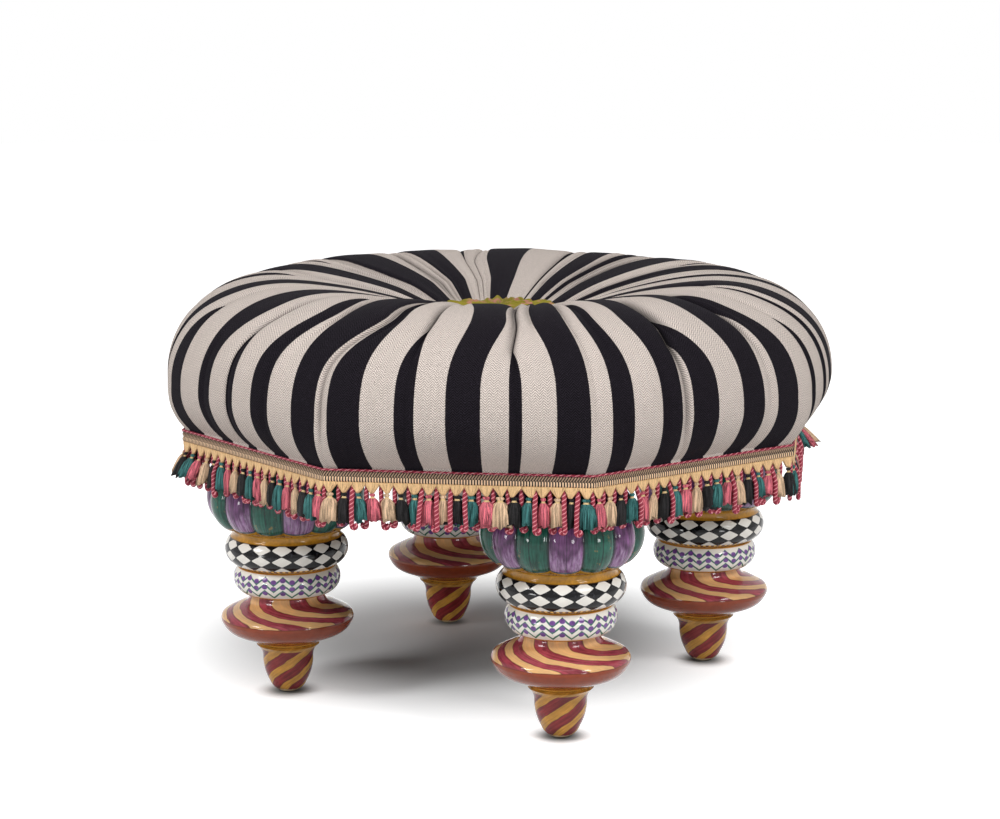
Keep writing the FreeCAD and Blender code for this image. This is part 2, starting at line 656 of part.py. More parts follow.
def frame_screw_spots():
    """Where screws go down through the board: two to a rail and two to a corner block."""
    spots = []
    for side in range(SIDES):
        for sign in ("", "-"):
            spots.append(around(RAIL_MIDDLE, f"({sign}{RAIL_SCREW_Y})", SIDE_ANGLE * side + HALF_SIDE_ANGLE))
    for angle in LEG_ANGLES.values():
        for sign in ("", "-"):
            spots.append(around(BLOCK_SCREW_X, f"({sign}{BLOCK_SCREW_Y})", angle))
    return spots


def seat_board():
    """Plywood octagon with counterbores for the rods and screws, and a hole for the twine."""
    body = sawn("seat_board", octagon("rail_apothem"), "board_thickness")
    rod_spots = [around(LEG_CIRCLE, "0", angle) for angle in LEG_ANGLES.values()]
    through = [(x, y, ROD_HOLE) for x, y in rod_spots] + [("0", "0", "twine_hole_radius")]
    through += [(x, y, PILOT) for x, y in frame_screw_spots()]
    drilled(body, through, "board_thickness")
    drilled(body, [(x, y, "counterbore_radius") for x, y in rod_spots], "counterbore_depth")
    heads = [(x, y, "(screw_head_radius + hole_play)") for x, y in frame_screw_spots()]
    drilled(body, heads, "screw_head_height")
    settle(body, BOARD_TOP)


def frame_screws():
    """Screws that hold the board down on the rails and blocks."""
    pattern = screw(size("frame_screw_length"), -1)
    height = size(f"{BOARD_TOP} - screw_head_height")
    screws = [placed(pattern, V(size(x), size(y), height)) for x, y in frame_screw_spots()]
    shaped("frame_screws", Part.makeCompound(screws))


# Seat: every soft layer follows one profile, which runs from the hem under the braid up over the
# crest and down into the tuft. The plan is octagonal at the hem and round above.

# Stations below the seat's widest ring: share of the way down to the hem's top, then shares of
# the octagon, of a pleat's depth and of the wadding's thickness.
SIDE_STATIONS = ((0.8, 0.75, 0.5, 0.6), (0.45, 0.35, 0.9, 0.8), (0.0, 0.1, 1.0, 1.0))
# Stations up the shoulder, in degrees from the widest ring to the crest.
SHOULDER_TURNS = (22.5, 45, 67.5, 90)
# Stations from the crest to the lip: share of the way in, then shares of a pleat and of the wadding.
TOP_STATIONS = ((0.4, 1.0, 1.0), (0.75, 0.9, 0.8))


def seat_stations():
    """Stations along the profile: radius half way round a side, height, and the three shares."""
    seat, crest = size(SEAT_RADIUS), size("crest_radius")
    widest_height, top = size(BOARD_TOP), size(f"{BOARD_TOP} + cushion_height")
    hem, hem_top = size(HEM_RADIUS), size(HEM_TOP)
    flat = size("hem_pleat_depth / pleat_depth")
    stations = [(hem, size(f"{FRAME_FOOT} + soft_gap"), 1.0, flat, 0.0), (hem, hem_top, 1.0, flat, 0.0)]
    for fall, octagon_share, pleat, wadding in SIDE_STATIONS:
        radius = seat - (seat - hem) * fall ** 2
        height = widest_height - (widest_height - hem_top) * fall
        stations.append((radius, height, octagon_share, pleat, wadding))
    for turn in SHOULDER_TURNS:
        across, up = math.cos(math.radians(turn)), math.sin(math.radians(turn))
        radius = crest + (seat - crest) * max(across, 0.0) ** size("crown_power")
        height = widest_height + (top - widest_height) * up ** size("crown_power")
        stations.append((radius, height, 0.0, 1.0, 1.0))
    for share, pleat, wadding in TOP_STATIONS:
        radius = crest - (crest - size("lip_radius")) * share
        height = top - size("lip_drop") * share ** size("lip_fall_power")
        stations.append((radius, height, 0.0, pleat, wadding))
    lip, throat = size("lip_radius"), size("throat_radius")
    stations.append((lip, top - size("lip_drop"), 0.0, 0.5, 0.4))
    bend = throat + (lip - throat) * size("throat_bend_run")
    fall = size("lip_drop + (throat_drop - lip_drop) * throat_bend_fall")
    stations.append((bend, top - fall, 0.0, 0.3, 0.3))
    stations.append((throat, top - size("throat_drop"), 0.0, 0.2, 0.3))
    return stations


STATIONS = seat_stations()
WIDEST = 4
HEM_OF_WADDING = 2


def normal_at(index):
    """The profile's outward direction at a station, level at the hem, the widest ring and the throat."""
    if index in (0, 1, WIDEST):
        return 1.0, 0.0
    if index == len(STATIONS) - 1:
        return -1.0, 0.0
    before, after = STATIONS[index - 1], STATIONS[index + 1]
    run, rise = after[0] - before[0], after[1] - before[1]
    return rise / math.hypot(run, rise), -run / math.hypot(run, rise)


def seat_ring(index, depth, pleat=0.0, chords=1, height=None):
    """A closed ring at a station, depth below the profile, with a valley of pleat more at each sewn line."""
    radius, level, octagon_share = STATIONS[index][:3]
    out, up = normal_at(index)
    total = round(size("pleats")) * chords
    points = []
    for k in range(total):
        angle = 360 / total * k
        off_side = math.radians(angle % SIDE_ANGLE - HALF_SIDE_ANGLE)
        spread = 1 + octagon_share * (1 / math.cos(off_side) - 1)
        along = (k % chords) / chords
        sunk = depth + pleat * (1 - math.sin(math.pi * along) ** size("pleat_fullness"))
        rise = level - sunk * up if height is None else height
        points.append(polar((radius - sunk * out) * spread, angle, rise))
    return Part.makePolygon(points + points[:1])


def skin(rings):
    """The faces of a sheet through rings."""
    return Part.makeLoft(rings, False, True).Faces


def annulus(one, other):
    """The flat face between two level rings."""
    return Part.makeFace([one, other], "Part::FaceMakerBullseye")


def sewn(faces):
    """One solid closed from faces that meet at their edges."""
    shell = Part.makeShell(faces)
    shell.sewShape()
    solid = Part.makeSolid(shell)
    if solid.Volume < 0:
        solid.reverse()
    return solid


def pleat_at(index):
    """Valley depth of the cover at a station."""
    return size("pleat_depth") * STATIONS[index][3]


def cover_inside(index):
    """How far the cover's inner face lies below the profile."""
    return pleat_at(index) + size("cover_thickness")


def wadding_inside(index):
    """How far the wadding's inner face lies below the profile."""
    return cover_inside(index) + size("soft_gap") + size("wadding_thickness") * STATIONS[index][4]


def striped_cover():
    """Woven cover drawn into pleats, from its hem on the rails to the edge gathered into the tuft."""
    every = range(len(STATIONS))
    chords = 3
    outer = [seat_ring(k, 0.0, pleat_at(k), chords) for k in every]
    inner = [seat_ring(k, cover_inside(k)) for k in every]
    faces = skin(outer) + skin(inner)
    faces += [annulus(outer[0], inner[0]), annulus(outer[-1], inner[-1])]
    shaped("striped_cover", sewn(faces))


def wadding():
    """Cotton wadding between cover and foam."""
    every = range(HEM_OF_WADDING, len(STATIONS))
    outer = [seat_ring(k, cover_inside(k) + size("soft_gap")) for k in every]
    inner = [seat_ring(k, wadding_inside(k)) for k in every]
    faces = skin(outer) + skin(inner)
    faces += skin([outer[0], inner[0]]) + [annulus(outer[-1], inner[-1])]
    shaped("wadding", sewn(faces))


def foam_bun():
    """Foam cushion on the board, with a hollow for the tuft and a hole for its twine."""
    last = len(STATIONS) - 1
    depth = [wadding_inside(k) + size("soft_gap") for k in range(len(STATIONS))]
    rings = [seat_ring(WIDEST, depth[WIDEST], height=size(f"{BOARD_TOP} + soft_gap"))]
    rings += [seat_ring(k, depth[k]) for k in range(WIDEST + 1, last)]
    rings.append(seat_ring(last, depth[last], height=size(TUFT_FLOOR)))
    bun = Part.makeLoft(rings, True, True)
    hole = Part.makeCylinder(size("tuft_twine_radius + soft_gap"), size(TUFT_FLOOR))
    shaped("foam_bun", bun.cut(hole).Solids[0])


def edge_roll():
    """Foam strip glued round the rails, which swells the sides of the seat."""
    rings = []
    for k in range(HEM_OF_WADDING, WIDEST + 1):
        rings.append(seat_ring(k, wadding_inside(k) + size("soft_gap")))
    roll = Part.makeLoft(rings, True, True)
    corners = [polar(size(f"(rail_apothem + soft_gap) / {COS_HALF}"), SIDE_ANGLE * k) for k in range(SIDES)]
    core = Part.Face(Part.makePolygon(corners + corners[:1])).extrude(UP * size(BOARD_TOP))
    shaped("edge_roll", roll.cut(core).Solids[0])


def tuft():
    """Rosette over a wooden former, held down by twine that is tied off at a toggle under the board."""
    former_radius = f"({ROSETTE_RADIUS} - rosette_cloth)"
    edge = [("0", "0"), (former_radius, "0"), (former_radius, "former_thickness"), ("0", "former_thickness")]
    settle(turned("rosette_former", [edge]), FORMER_FOOT)
    inside, ceiling = f"({former_radius} + former_play)", "(former_thickness + former_play)"
    rosette = turned("centre_rosette", [[
        (inside, "soft_gap"),
        (f"{ROSETTE_RADIUS} - rosette_foot_inset", "soft_gap"),
        (f"{ROSETTE_RADIUS} - rosette_rim_inset", "rosette_rim_rise", ROSETTE_RADIUS, "rosette_rim_rise / 2"),
        ("rosette_eye_radius", "rosette_height",
         f"{ROSETTE_RADIUS} * rosette_crown", "rosette_height - rosette_crown_drop"),
        ("0", "rosette_height"),
        ("0", ceiling),
        (inside, ceiling),
    ]])
    settle(rosette, FORMER_FOOT)
    hole = "(tuft_twine_radius + soft_gap)"
    toggle = turned("tuft_toggle", [[
        (hole, "0"),
        ("toggle_radius", "0"),
        ("toggle_radius", "toggle_thickness"),
        (hole, "toggle_thickness"),
    ]])
    settle(toggle, f"{RAIL_TOP} - toggle_thickness")
    knot_height = f"({RAIL_TOP} - toggle_thickness - soft_gap - twine_knot_radius)"
    strand = doc.addObject("Part::Cylinder", "twine_strand")
    bind(strand, Radius="tuft_twine_radius", Height=f"{FORMER_FOOT} - {knot_height}")
    settle(strand, knot_height)
    knot = doc.addObject("Part::Sphere", "twine_knot")
    bind(knot, Radius="twine_knot_radius")
    settle(knot, knot_height)
    twine = doc.addObject("Part::Fuse", "tuft_twine")
    twine.Base = strand
    twine.Tool = knot
    keep("tuft_twine", twine)


def dust_cover():
    """Black cloth under the frame, cut out round the leg plates."""
    circles = []
    for angle in LEG_ANGLES.values():
        circles.append(around(LEG_CIRCLE, "0", angle) + ("(plate_radius + soft_gap)",))
    cloth = sawn("dust_cover", octagon("(rail_apothem - dust_cover_inset)"), "dust_cover_thickness", circles)
    settle(cloth, FRAME_FOOT)


# Trim: braid with a twisted lip cord, scalloped heading, tassels, and twisted cords between them.

def octagon_ring(section):
    """A bar of the given (apothem, height) section carried round the octagon, mitred at the corners."""
    faces = []
    count = len(section)
    for side in range(SIDES):
        for k in range(count):
            (inner, low), (outer, high) = section[k], section[(k + 1) % count]
            scale = 1 / math.cos(math.radians(HALF_SIDE_ANGLE))
            start, end = SIDE_ANGLE * side, SIDE_ANGLE * (side + 1)
            quad = [polar(inner * scale, start, low), polar(outer * scale, start, high),
                    polar(outer * scale, end, high), polar(inner * scale, end, low)]
            faces.append(Part.Face(Part.makePolygon(quad + quad[:1])))
    return sewn(faces)


def braid():
    """Woven band round the foot of the seat."""
    body = sawn("braid", octagon(f"({BRAID_APOTHEM} + braid_thickness)"), "braid_height")
    sketch = body.Group[0]
    add_outline(sketch, octagon(BRAID_APOTHEM))
    settle(body, BRAID_TOP)


def lip_cord():
    """Twisted cord along the top edge of the band, six-sided here."""
    radius = size("lip_cord_radius")
    middle = size(BRAID_APOTHEM) + radius
    centre = size(BRAID_TOP) + radius * math.cos(math.radians(30))
    section = []
    for k in range(6):
        turn = math.radians(60 * k)
        section.append((middle + radius * math.cos(turn), centre + radius * math.sin(turn)))
    shaped("lip_cord", octagon_ring(section))


def header_side(apothem):
    """The outline of one side of the heading at an apothem: straight above, scalloped below."""
    tabs = round(size("tassels_per_side"))
    half = apothem * math.tan(math.radians(HALF_SIDE_ANGLE))
    pitch = 2 * half / tabs
    tip = size("header_tip_width / 2")
    top, foot = size(BRAID_FOOT), size(HEADER_FOOT)
    notch = foot + size("header_notch_rise")
    flat = [(-half, top), (half, top)]
    for k in range(tabs):
        right = half - pitch * k
        middle = right - pitch / 2
        flat += [(right, notch), (middle + tip, foot), (middle - tip, foot)]
    flat.append((-half, notch))
    points = [V(apothem, along, height) for along, height in flat]
    return Part.makePolygon(points + points[:1])


def fringe_header():
    """Cream heading of the fringe, drawn to a point over each tassel."""
    inner = size(BRAID_APOTHEM)
    outer = inner + size("braid_thickness")
    panel = Part.makeLoft([header_side(inner), header_side(outer)], True, True)
    panels = [placed(panel, V(), SIDE_ANGLE * side + HALF_SIDE_ANGLE) for side in range(SIDES)]
    shaped("fringe_header", panels[0].fuse(panels[1:]).Solids[0])


def tassel_spots():
    """The point under each scallop and its side's direction, left to right seen from outside."""
    apothem = size(f"{BRAID_APOTHEM} + braid_thickness / 2")
    tabs = round(size("tassels_per_side"))
    half = apothem * math.tan(math.radians(HALF_SIDE_ANGLE))
    spots = []
    for side in range(SIDES):
        angle = SIDE_ANGLE * side + HALF_SIDE_ANGLE
        for k in range(tabs):
            along = -half + 2 * half * (k + 0.5) / tabs
            spots.append((polar(apothem, angle, size(HEADER_FOOT)) + polar(along, angle + 90), angle))
    return spots


def tassels():
    """Tassels in four colours by turns, six-sided here: head, bound neck and flared skirt."""
    head, neck = size("tassel_head_height"), size("tassel_neck_height")
    hem = size("tassel_neck_height + tassel_skirt_length")
    levels = ((size("tassel_skirt_radius"), -hem), (size("tassel_neck_radius"), -neck),
              (size("tassel_head_radius"), -head / 2), (size("tassel_neck_radius * tassel_top_share"), 0.0))
    pattern = stacked_prism(levels, 6, 30)
    groups = {colour: [] for colour in TASSEL_COLOURS}
    for number, (spot, angle) in enumerate(tassel_spots()):
        groups[TASSEL_COLOURS[number % len(TASSEL_COLOURS)]].append(placed(pattern, spot, angle))
    for colour, solids in groups.items():
        shaped(f"tassels_{colour}", Part.makeCompound(solids))


def bullion_cords():
    """Twisted cords behind the heading's notches, four-sided here and drawn in at the end of the loop."""
    half = size("bullion_half_width")
    corner = half * math.sqrt(2)
    length = size("bullion_length")
    end = corner * size("bullion_end_share")
    pattern = stacked_prism(((end, -length), (corner, -length + half), (corner, 0.0)), 4, 45)
    top = size(f"{FRAME_FOOT} - dust_cover_thickness")
    inner = size(BRAID_APOTHEM)
    turn = math.radians(HALF_SIDE_ANGLE)
    pitch = 2 * inner * math.tan(turn) / round(size("tassels_per_side"))
    corner_radius = (inner - half * math.sin(turn)) / math.cos(turn) - half - size("hole_play")
    cords = []
    for side in range(SIDES):
        angle = SIDE_ANGLE * side + HALF_SIDE_ANGLE
        for k in range(1, round(size("tassels_per_side"))):
            along = pitch * k - inner * math.tan(turn)
            cords.append(placed(pattern, polar(inner - half, angle, top) + polar(along, angle + 90), angle))
        cords.append(placed(pattern, polar(corner_radius, SIDE_ANGLE * side, top), SIDE_ANGLE * side))
    shaped("bullion_cords", Part.makeCompound(cords))


bulb_shape = lobed_bulb_shape()
for leg, direction in LEG_ANGLES.items():
    foot_finial(leg, direction)
    saucer(leg, direction)
    lattice_ring(leg, direction)
    check_ring(leg, direction)
    lobed_bulb(leg, direction, bulb_shape)
    corner_block(leg, direction)
leg_gaskets()
leg_rods()
washers_and_nuts()
leg_plates()
plate_screws()
for side_number in range(1, SIDES + 1):
    rail(side_number)
glue_blocks()
seat_board()
frame_screws()
striped_cover()
wadding()
foam_bun()
edge_roll()
tuft()
dust_cover()
braid()
lip_cord()
fringe_header()
tassels()
bullion_cords()
doc.recompute()

for thing in doc.Objects:
    if "Invalid" in thing.State or "Error" in thing.State:
        raise RuntimeError(f"{thing.Label} failed: {thing.State}")
unsound = [label for label, thing in parts.items() if thing.Shape.isNull() or not thing.Shape.isValid()]
if unsound:
    raise RuntimeError(f"no valid shape: {unsound}")

os.makedirs("parts", exist_ok=True)
for label, thing in parts.items():
    thing.Shape.exportStep(os.path.join("parts", f"{label}.step"))
    box = thing.Shape.BoundBox
    print(f"{label}: {len(thing.Shape.Solids)} solids, {thing.Shape.Volume / 1000:.1f} cm3,"
          f" z {box.ZMin:.1f} to {box.ZMax:.1f}")
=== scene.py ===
import json
import math

import bpy
import numpy as np
from bpy.props import FloatProperty, FloatVectorProperty, IntProperty, PointerProperty
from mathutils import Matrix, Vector


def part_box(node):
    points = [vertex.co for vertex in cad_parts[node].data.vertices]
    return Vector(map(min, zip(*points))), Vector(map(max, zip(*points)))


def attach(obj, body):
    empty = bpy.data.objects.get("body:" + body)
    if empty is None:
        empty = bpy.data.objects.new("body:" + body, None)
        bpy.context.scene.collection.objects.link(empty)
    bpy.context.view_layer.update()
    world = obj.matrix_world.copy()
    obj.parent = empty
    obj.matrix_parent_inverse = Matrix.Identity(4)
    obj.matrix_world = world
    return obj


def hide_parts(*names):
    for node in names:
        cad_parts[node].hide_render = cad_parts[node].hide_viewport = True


bl_info = {
    "name": "Fringed ottoman",
    "version": (1, 0, 0),
    "blender": (4, 5, 0),
    "location": "3D View > Sidebar > Ottoman",
    "description": "Upholstery, fringe and glazes for the packed ottoman frame",
    "category": "Add Mesh",
}

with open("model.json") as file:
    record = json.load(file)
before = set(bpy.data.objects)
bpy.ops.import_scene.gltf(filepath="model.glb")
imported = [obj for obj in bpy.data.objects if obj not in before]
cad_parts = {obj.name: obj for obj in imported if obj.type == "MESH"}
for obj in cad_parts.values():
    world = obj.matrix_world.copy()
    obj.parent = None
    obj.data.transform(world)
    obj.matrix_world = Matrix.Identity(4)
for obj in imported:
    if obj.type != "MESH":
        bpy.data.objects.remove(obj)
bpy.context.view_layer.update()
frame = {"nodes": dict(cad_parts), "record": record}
NODES = frame["nodes"]
LEG_SPOTS = np.array([mount["pos_m"] for mount in frame["record"]["mounts"]])
LEG_OFFSET = abs(float(LEG_SPOTS[0, 0]))

# The frame's octagon has a corner on the X axis; half a side is 22.5 degrees.
SIDES = 8
HALF_SIDE = math.pi / SIDES
# Heights and places that the frame gives, in metres.
BRAID_LOW, BRAID_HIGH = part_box("braid")
LIP_LOW, LIP_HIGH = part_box("lip_cord")
HEADER_LOW, HEADER_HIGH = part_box("fringe_header")
CORD_LOW, CORD_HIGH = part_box("bullion_cords")
DUST_LOW, DUST_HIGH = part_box("dust_cover")
FORMER_LOW, FORMER_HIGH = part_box("rosette_former")
BOARD_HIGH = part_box("seat_board")[1]
COVER_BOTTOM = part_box("striped_cover")[0].z
TASSEL_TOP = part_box("tassels_teal")[1].z
BULB_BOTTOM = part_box("lobed_bulb_1")[0].z
# Thickness of the band and the gap between soft pieces; the band's face, back and length round the frame, and
# the hem that it lies on.
BAND_THICKNESS = 0.0018
SOFT_GAP = 0.0003
BAND_FACE = BRAID_HIGH.x * math.cos(HALF_SIDE)
BAND_BACK = BAND_FACE - BAND_THICKNESS
BAND_ROUND = 2 * SIDES * BAND_FACE * math.tan(HALF_SIDE)
HEM_RADIUS = BAND_BACK - SOFT_GAP
HEM_TOP = LIP_HIGH.z + 0.0007

# Black stripes of the cloth, in degrees round the seat: where each starts and ends at the rim, on the
# shoulder and beside the tuft. A stripe that a pleat has swallowed starts and ends at one place.
BLACK_STRIPES = (
    (219.0, 222.5, 219.5, 227.0, 219, 229), (226.9, 232.6, 231.4, 231.4, 233, 233),
    (240.5, 244.5, 240.7, 249.9, 240, 251), (249.3, 251.7, 253.0, 253.0, 255, 255),
    (256.4, 260.4, 262.7, 266.4, 263, 263), (265.4, 269.9, 268.0, 277.4, 267, 279),
    (272.1, 277.8, 279.2, 281.2, 281, 284), (283.4, 286.6, 287.0, 287.0, 288, 288),
    (291.5, 296.9, 294.4, 301.2, 291, 304), (301.3, 303.3, 303.1, 300.1, 305, 305),
    (308.6, 313.9, 306.0, 312.3, 309, 314), (317.4, 321.1, 315.2, 318.2, 317, 317),
    (326.1, 329.9, 323.4, 331.0, 322, 335), (331.8, 336.8, 328.3, 331.3, 336, 336),
    (342.3, 347.5, 340.0, 347.8, 341, 352), (351.0, 357.0, 348.1, 351.9, 353, 353),
    (363.1, 364.7, 358.8, 358.8, 359, 359), (369.4, 372.4, 366.2, 368.1, 366, 369),
    (375.2, 380.6, 370.9, 378.2, 369, 380), (387.5, 391.5, 385.0, 391.0, 388.0, 394),
    (397.0, 401.5, 398.5, 400.0, 400, 400), (406.0, 410.5, 404.0, 411.0, 406.0, 414),
    (415.5, 420.5, 417.5, 419.5, 418, 418), (425.0, 430.0, 423.0, 432.0, 422.8, 435.5),
    (435.0, 438.5, 437.5, 437.5, 438, 438), (442.0, 446.0, 441.0, 444.5, 441.2, 444.5),
    (451.0, 456.0, 448.5, 455.0, 446.8, 454.4), (460.0, 464.0, 459.0, 461.0, 459.2, 460.5),
    (468.5, 474.0, 471.0, 482.0, 472.3, 484.8), (478.5, 482.0, 484.0, 484.0, 489, 489),
    (487.0, 491.0, 489.5, 491.0, 492, 492), (496.0, 501.0, 498.0, 506.0, 498.6, 506.6),
    (505.5, 509.0, 509.0, 509.0, 511, 511), (513.5, 519.0, 517.0, 528.0, 517.6, 531.6),
    (523.0, 527.0, 530.0, 530.0, 534, 534), (532.0, 536.5, 534.5, 537.0, 539, 539),
    (541.0, 546.0, 543.0, 552.0, 545.0, 557), (550.0, 553.5, 553.5, 553.5, 563, 563),
    (558.0, 563.0, 562.0, 566.0, 568, 568), (568.0, 572.0, 571.0, 572.5, 574, 574),
)
# Where the cloth was pulled sideways at the hem, in degrees: place, pull and reach.
HEM_PULLS = ((244, -3.3, 11), (336, 2.7, 10))
# Cloth drawn to one side in the tuft: towards an angle, in degrees, by metres, inside a radius.
TUFT_PULL = (285, 0.040, 0.135)
# Middle and reach in degrees, and the share taken off, of the pleats that lie nearly flat.
EASED_PLEATS = (487, 8, 0.7)
# How far a pleat's steep side and its gentle side reach, in metres.
STEEP, GENTLE = 0.0030, 0.0065
# Degrees of cloth that show of a stripe that a pleat has swallowed.
SLIVER = 0.12
# Unevenness of the stuffing: waves round the seat and their depth.
STUFFING_WAVES = ((3, 0.0012), (7, 0.0010), (13, 0.0009), (29, 0.0006))
# Metres of cloth from the hem to the tuft.
CLOTH_LENGTH = 0.472
# Rows of the plainer profile that the layers under the cover take, and how far below the cover's form the
# wadding's two faces and the foam lie.
LAYER_ROWS = (2, 8, 14, 10, 4)
WADDING_TOP, WADDING_UNDER, FOAM_TOP = 0.0102, 0.0142, 0.0145
# Share of the width and drop of each ring of a tassel: head, binding and skirt.
TASSEL_RINGS = (
    (0.02, 0.0), (0.34, 0.0005), (0.42, 0.0022), (0.27, 0.0036), (0.26, 0.0048),
    (0.54, 0.0070), (0.80, 0.0112), (0.95, 0.0190), (1.0, 0.0304), (0.02, 0.0285),
)
# Place in sides, reach and outward slope of the tassels that have been swept outwards.
SWEPT_OUT = ((0.97, 0.13, 0.70), (5.05, 0.16, 0.45))
# Lamps: name, place, width and height in metres, and watts.
LAMPS = (
    ("left", (-1.45, -2.5, 2.2), (0.9, 0.9), 57),
    ("right", (2.75, -0.8, 2.2), (0.9, 0.9), 57),
    ("above", (0.45, -0.8, 2.7), (1.5, 1.5), 23),
    ("behind", (-0.7, 2.3, 1.9), (1.2, 1.2), 8),
    ("low_left", (-0.75, -2.6, 0.38), (0.44, 0.28), 9),
    ("low_right", (2.35, -1.15, 0.38), (0.44, 0.28), 9),
)
SKY_LEVEL = 0.14
# How near the corners of a CAD node's triangles are welded, and the angle past which an edge stays sharp.
CAD_WELD, SHARP_EDGE = 0.000005, math.radians(35)


# Sizes and colours that a user would change.

def length(name, default, description):
    """A size in metres."""
    return FloatProperty(name=name, description=description, default=default, min=0.0, unit="LENGTH")


def tint(name, default, description):
    """A colour, from screen values 0 to 255."""
    return FloatVectorProperty(name=name, description=description, default=srgb(*default), size=3, min=0.0,
                               max=1.0, subtype="COLOR")


def srgb(red, green, blue):
    """Linear colour from screen values 0 to 255."""
    screen = np.array([red, green, blue]) / 255
    return tuple(np.where(screen <= 0.04045, screen / 12.92, ((screen + 0.055) / 1.055) ** 2.4).tolist())


class SeatSettings(bpy.types.PropertyGroup):
    """Sizes and colours of the cushion."""

    overhang: length("Overhang", 0.0423, "Seat at its widest past the hem")
    crest_radius: length("Crest radius", 0.258, "Ring where the cushion is highest")
    crest_height: length("Crest height", 0.109, "Crest above the board")
    lip_radius: length("Lip radius", 0.076, "Where the top turns down into the tuft")
    lip_drop: length("Lip drop", 0.038, "Crest to lip")
    throat_radius: length("Throat radius", 0.067, "Wall of the tuft")
    throat_drop: length("Throat drop", 0.051, "Crest to the cover's inner edge")
    stripe_width: length("Stripe width", 0.038, "One stripe of the cloth laid flat")
    pleat_depth: length("Pleat depth", 0.0115, "Deepest valley of a pleat")
    shell: length("Inner face", 0.0088, "Cover's plain inner face below its outside")
    black: tint("Black stripe", (24, 21, 26), "Dark yarn")
    natural: tint("Natural stripe", (208, 196, 188), "Undyed yarn")
    olive: tint("Rosette", (135, 125, 40), "Gathered cloth in the tuft")


class TrimSettings(bpy.types.PropertyGroup):
    """Sizes and colours of braid, fringe and cords."""

    per_side: IntProperty(name="Tassels", description="Tassels on each side", default=19, min=4)
    skirt_width: length("Skirt width", 0.0089, "Half the width of a tassel's skirt")
    skirt_depth: length("Skirt depth", 0.0046, "Half the depth of a tassel's skirt")
    cord_radius: length("Twisted cord", 0.0027, "Half the thickness of a hanging cord")
    rib_pitch: length("Rib pitch", 0.0031, "One dark and one pale rib of the braid")
    teal: tint("Teal", (56, 116, 114), "Thread")
    rose: tint("Rose", (222, 112, 126), "Thread")
    cream: tint("Cream", (250, 212, 174), "Thread")
    black: tint("Black", (21, 18, 20), "Thread")
    cord: tint("Cord", (168, 40, 66), "Dark ply of the twisted cords")


class GlazeSettings(bpy.types.PropertyGroup):
    """Colours of the ceramic pieces."""

    lobes: IntProperty(name="Lobes", description="Lobes round a bulb", default=14, min=4)
    lobe_depth: length("Lobe depth", 0.0075, "Valley between two lobes")
    violet: tint("Violet", (110, 68, 112), "Lobes")
    green: tint("Green", (28, 84, 70), "Lobes")
    ochre: tint("Ochre", (214, 156, 66), "Spirals, swirls and collars")
    burgundy: tint("Burgundy", (144, 60, 70), "Spirals and swirls")
    terracotta: tint("Terracotta", (166, 72, 38), "Bare clay under the saucers")
    white: tint("White", (238, 234, 226), "Ground of the rings")
    ink: tint("Ink", (22, 21, 24), "Lozenges and outlines")


class StageSettings(bpy.types.PropertyGroup):
    """Camera and its line of sight."""

    lens: FloatProperty(name="Lens", description="Focal length in mm", default=93.46, min=10)
    eye: FloatVectorProperty(name="Eye", description="Camera", default=(1.521, -2.640, 0.866), unit="LENGTH")
    gaze: FloatVectorProperty(name="Gaze", description="Line of sight", default=(-0.4916, 0.8532, -0.1745))


# Meshes from numpy grids.

def circle(count):
    """Angles all the way round."""
    return np.linspace(0, 2 * np.pi, count, endpoint=False)


def ring(radius, angle, height):
    """Points at radius and angle about the Z axis."""
    return np.stack(np.broadcast_arrays(radius * np.cos(angle), radius * np.sin(angle), height), axis=-1)


def map_of(across, along):
    """A grid's map, from u for each column with the seam, and v for each row."""
    return np.stack(np.broadcast_arrays(across[None, :], along[:, None]), axis=-1)


def smooth(low, high, values):
    """Zero below low, one above high, and the cubic 3t^2 - 2t^3 between."""
    share = np.clip((values - low) / (high - low), 0, 1)
    return share * share * (3 - 2 * share)


def bell(values, middle, reach):
    """exp(-((value - middle) / reach)^2)."""
    return np.exp(-((values - middle) / reach) ** 2)


def grid_corners(rows, columns, closed_rows=False, closed_columns=True, hung=False):
    """Rows and columns of the four corners of a grid's quads, counted on past the seams. The quads of a hung
    grid, whose rows go down, wind the other way."""
    row, column = np.meshgrid(np.arange(rows if closed_rows else rows - 1),
                              np.arange(columns if closed_columns else columns - 1), indexing="ij")
    steps = np.array([(0, 0), (0, 1), (1, 1), (1, 0)])
    if hung:
        steps = steps[:, ::-1]
    return (row[..., None] + steps[:, 0]).reshape(-1, 4), (column[..., None] + steps[:, 1]).reshape(-1, 4)


def grid_mesh(name, points, closed_rows=False, uv=None, flip=False):
    """A mesh of quads over a grid of points shaped (rows, columns, 3), whose last column joins its first, and
    its last row the first where rows are closed."""
    rows, columns = points.shape[:2]
    row, column = grid_corners(rows, columns, closed_rows)
    if flip:
        row, column = row[:, ::-1], column[:, ::-1]
    corner_uv = None if uv is None else uv[row % uv.shape[0], column].reshape(-1, 2)
    return mesh_of(name, points.reshape(-1, 3), row % rows * columns + column % columns, corner_uv)


def mesh_of(name, points, faces, uv=None):
    """A smooth-shaded mesh from points, four-sided faces and one (u, v) for each face corner."""
    mesh = bpy.data.meshes.new(name)
    mesh.vertices.add(len(points))
    mesh.vertices.foreach_set("co", points.astype(np.float32).ravel())
    mesh.loops.add(faces.size)
    mesh.loops.foreach_set("vertex_index", faces.astype(np.int32).ravel())
    mesh.polygons.add(len(faces))
    mesh.polygons.foreach_set("loop_start", np.arange(0, faces.size, 4, dtype=np.int32))
    mesh.polygons.foreach_set("use_smooth", np.ones(len(faces), dtype=bool))
    if uv is not None:
        add_map(mesh, "UVMap", uv)
    mesh.update(calc_edges=True)
    return mesh


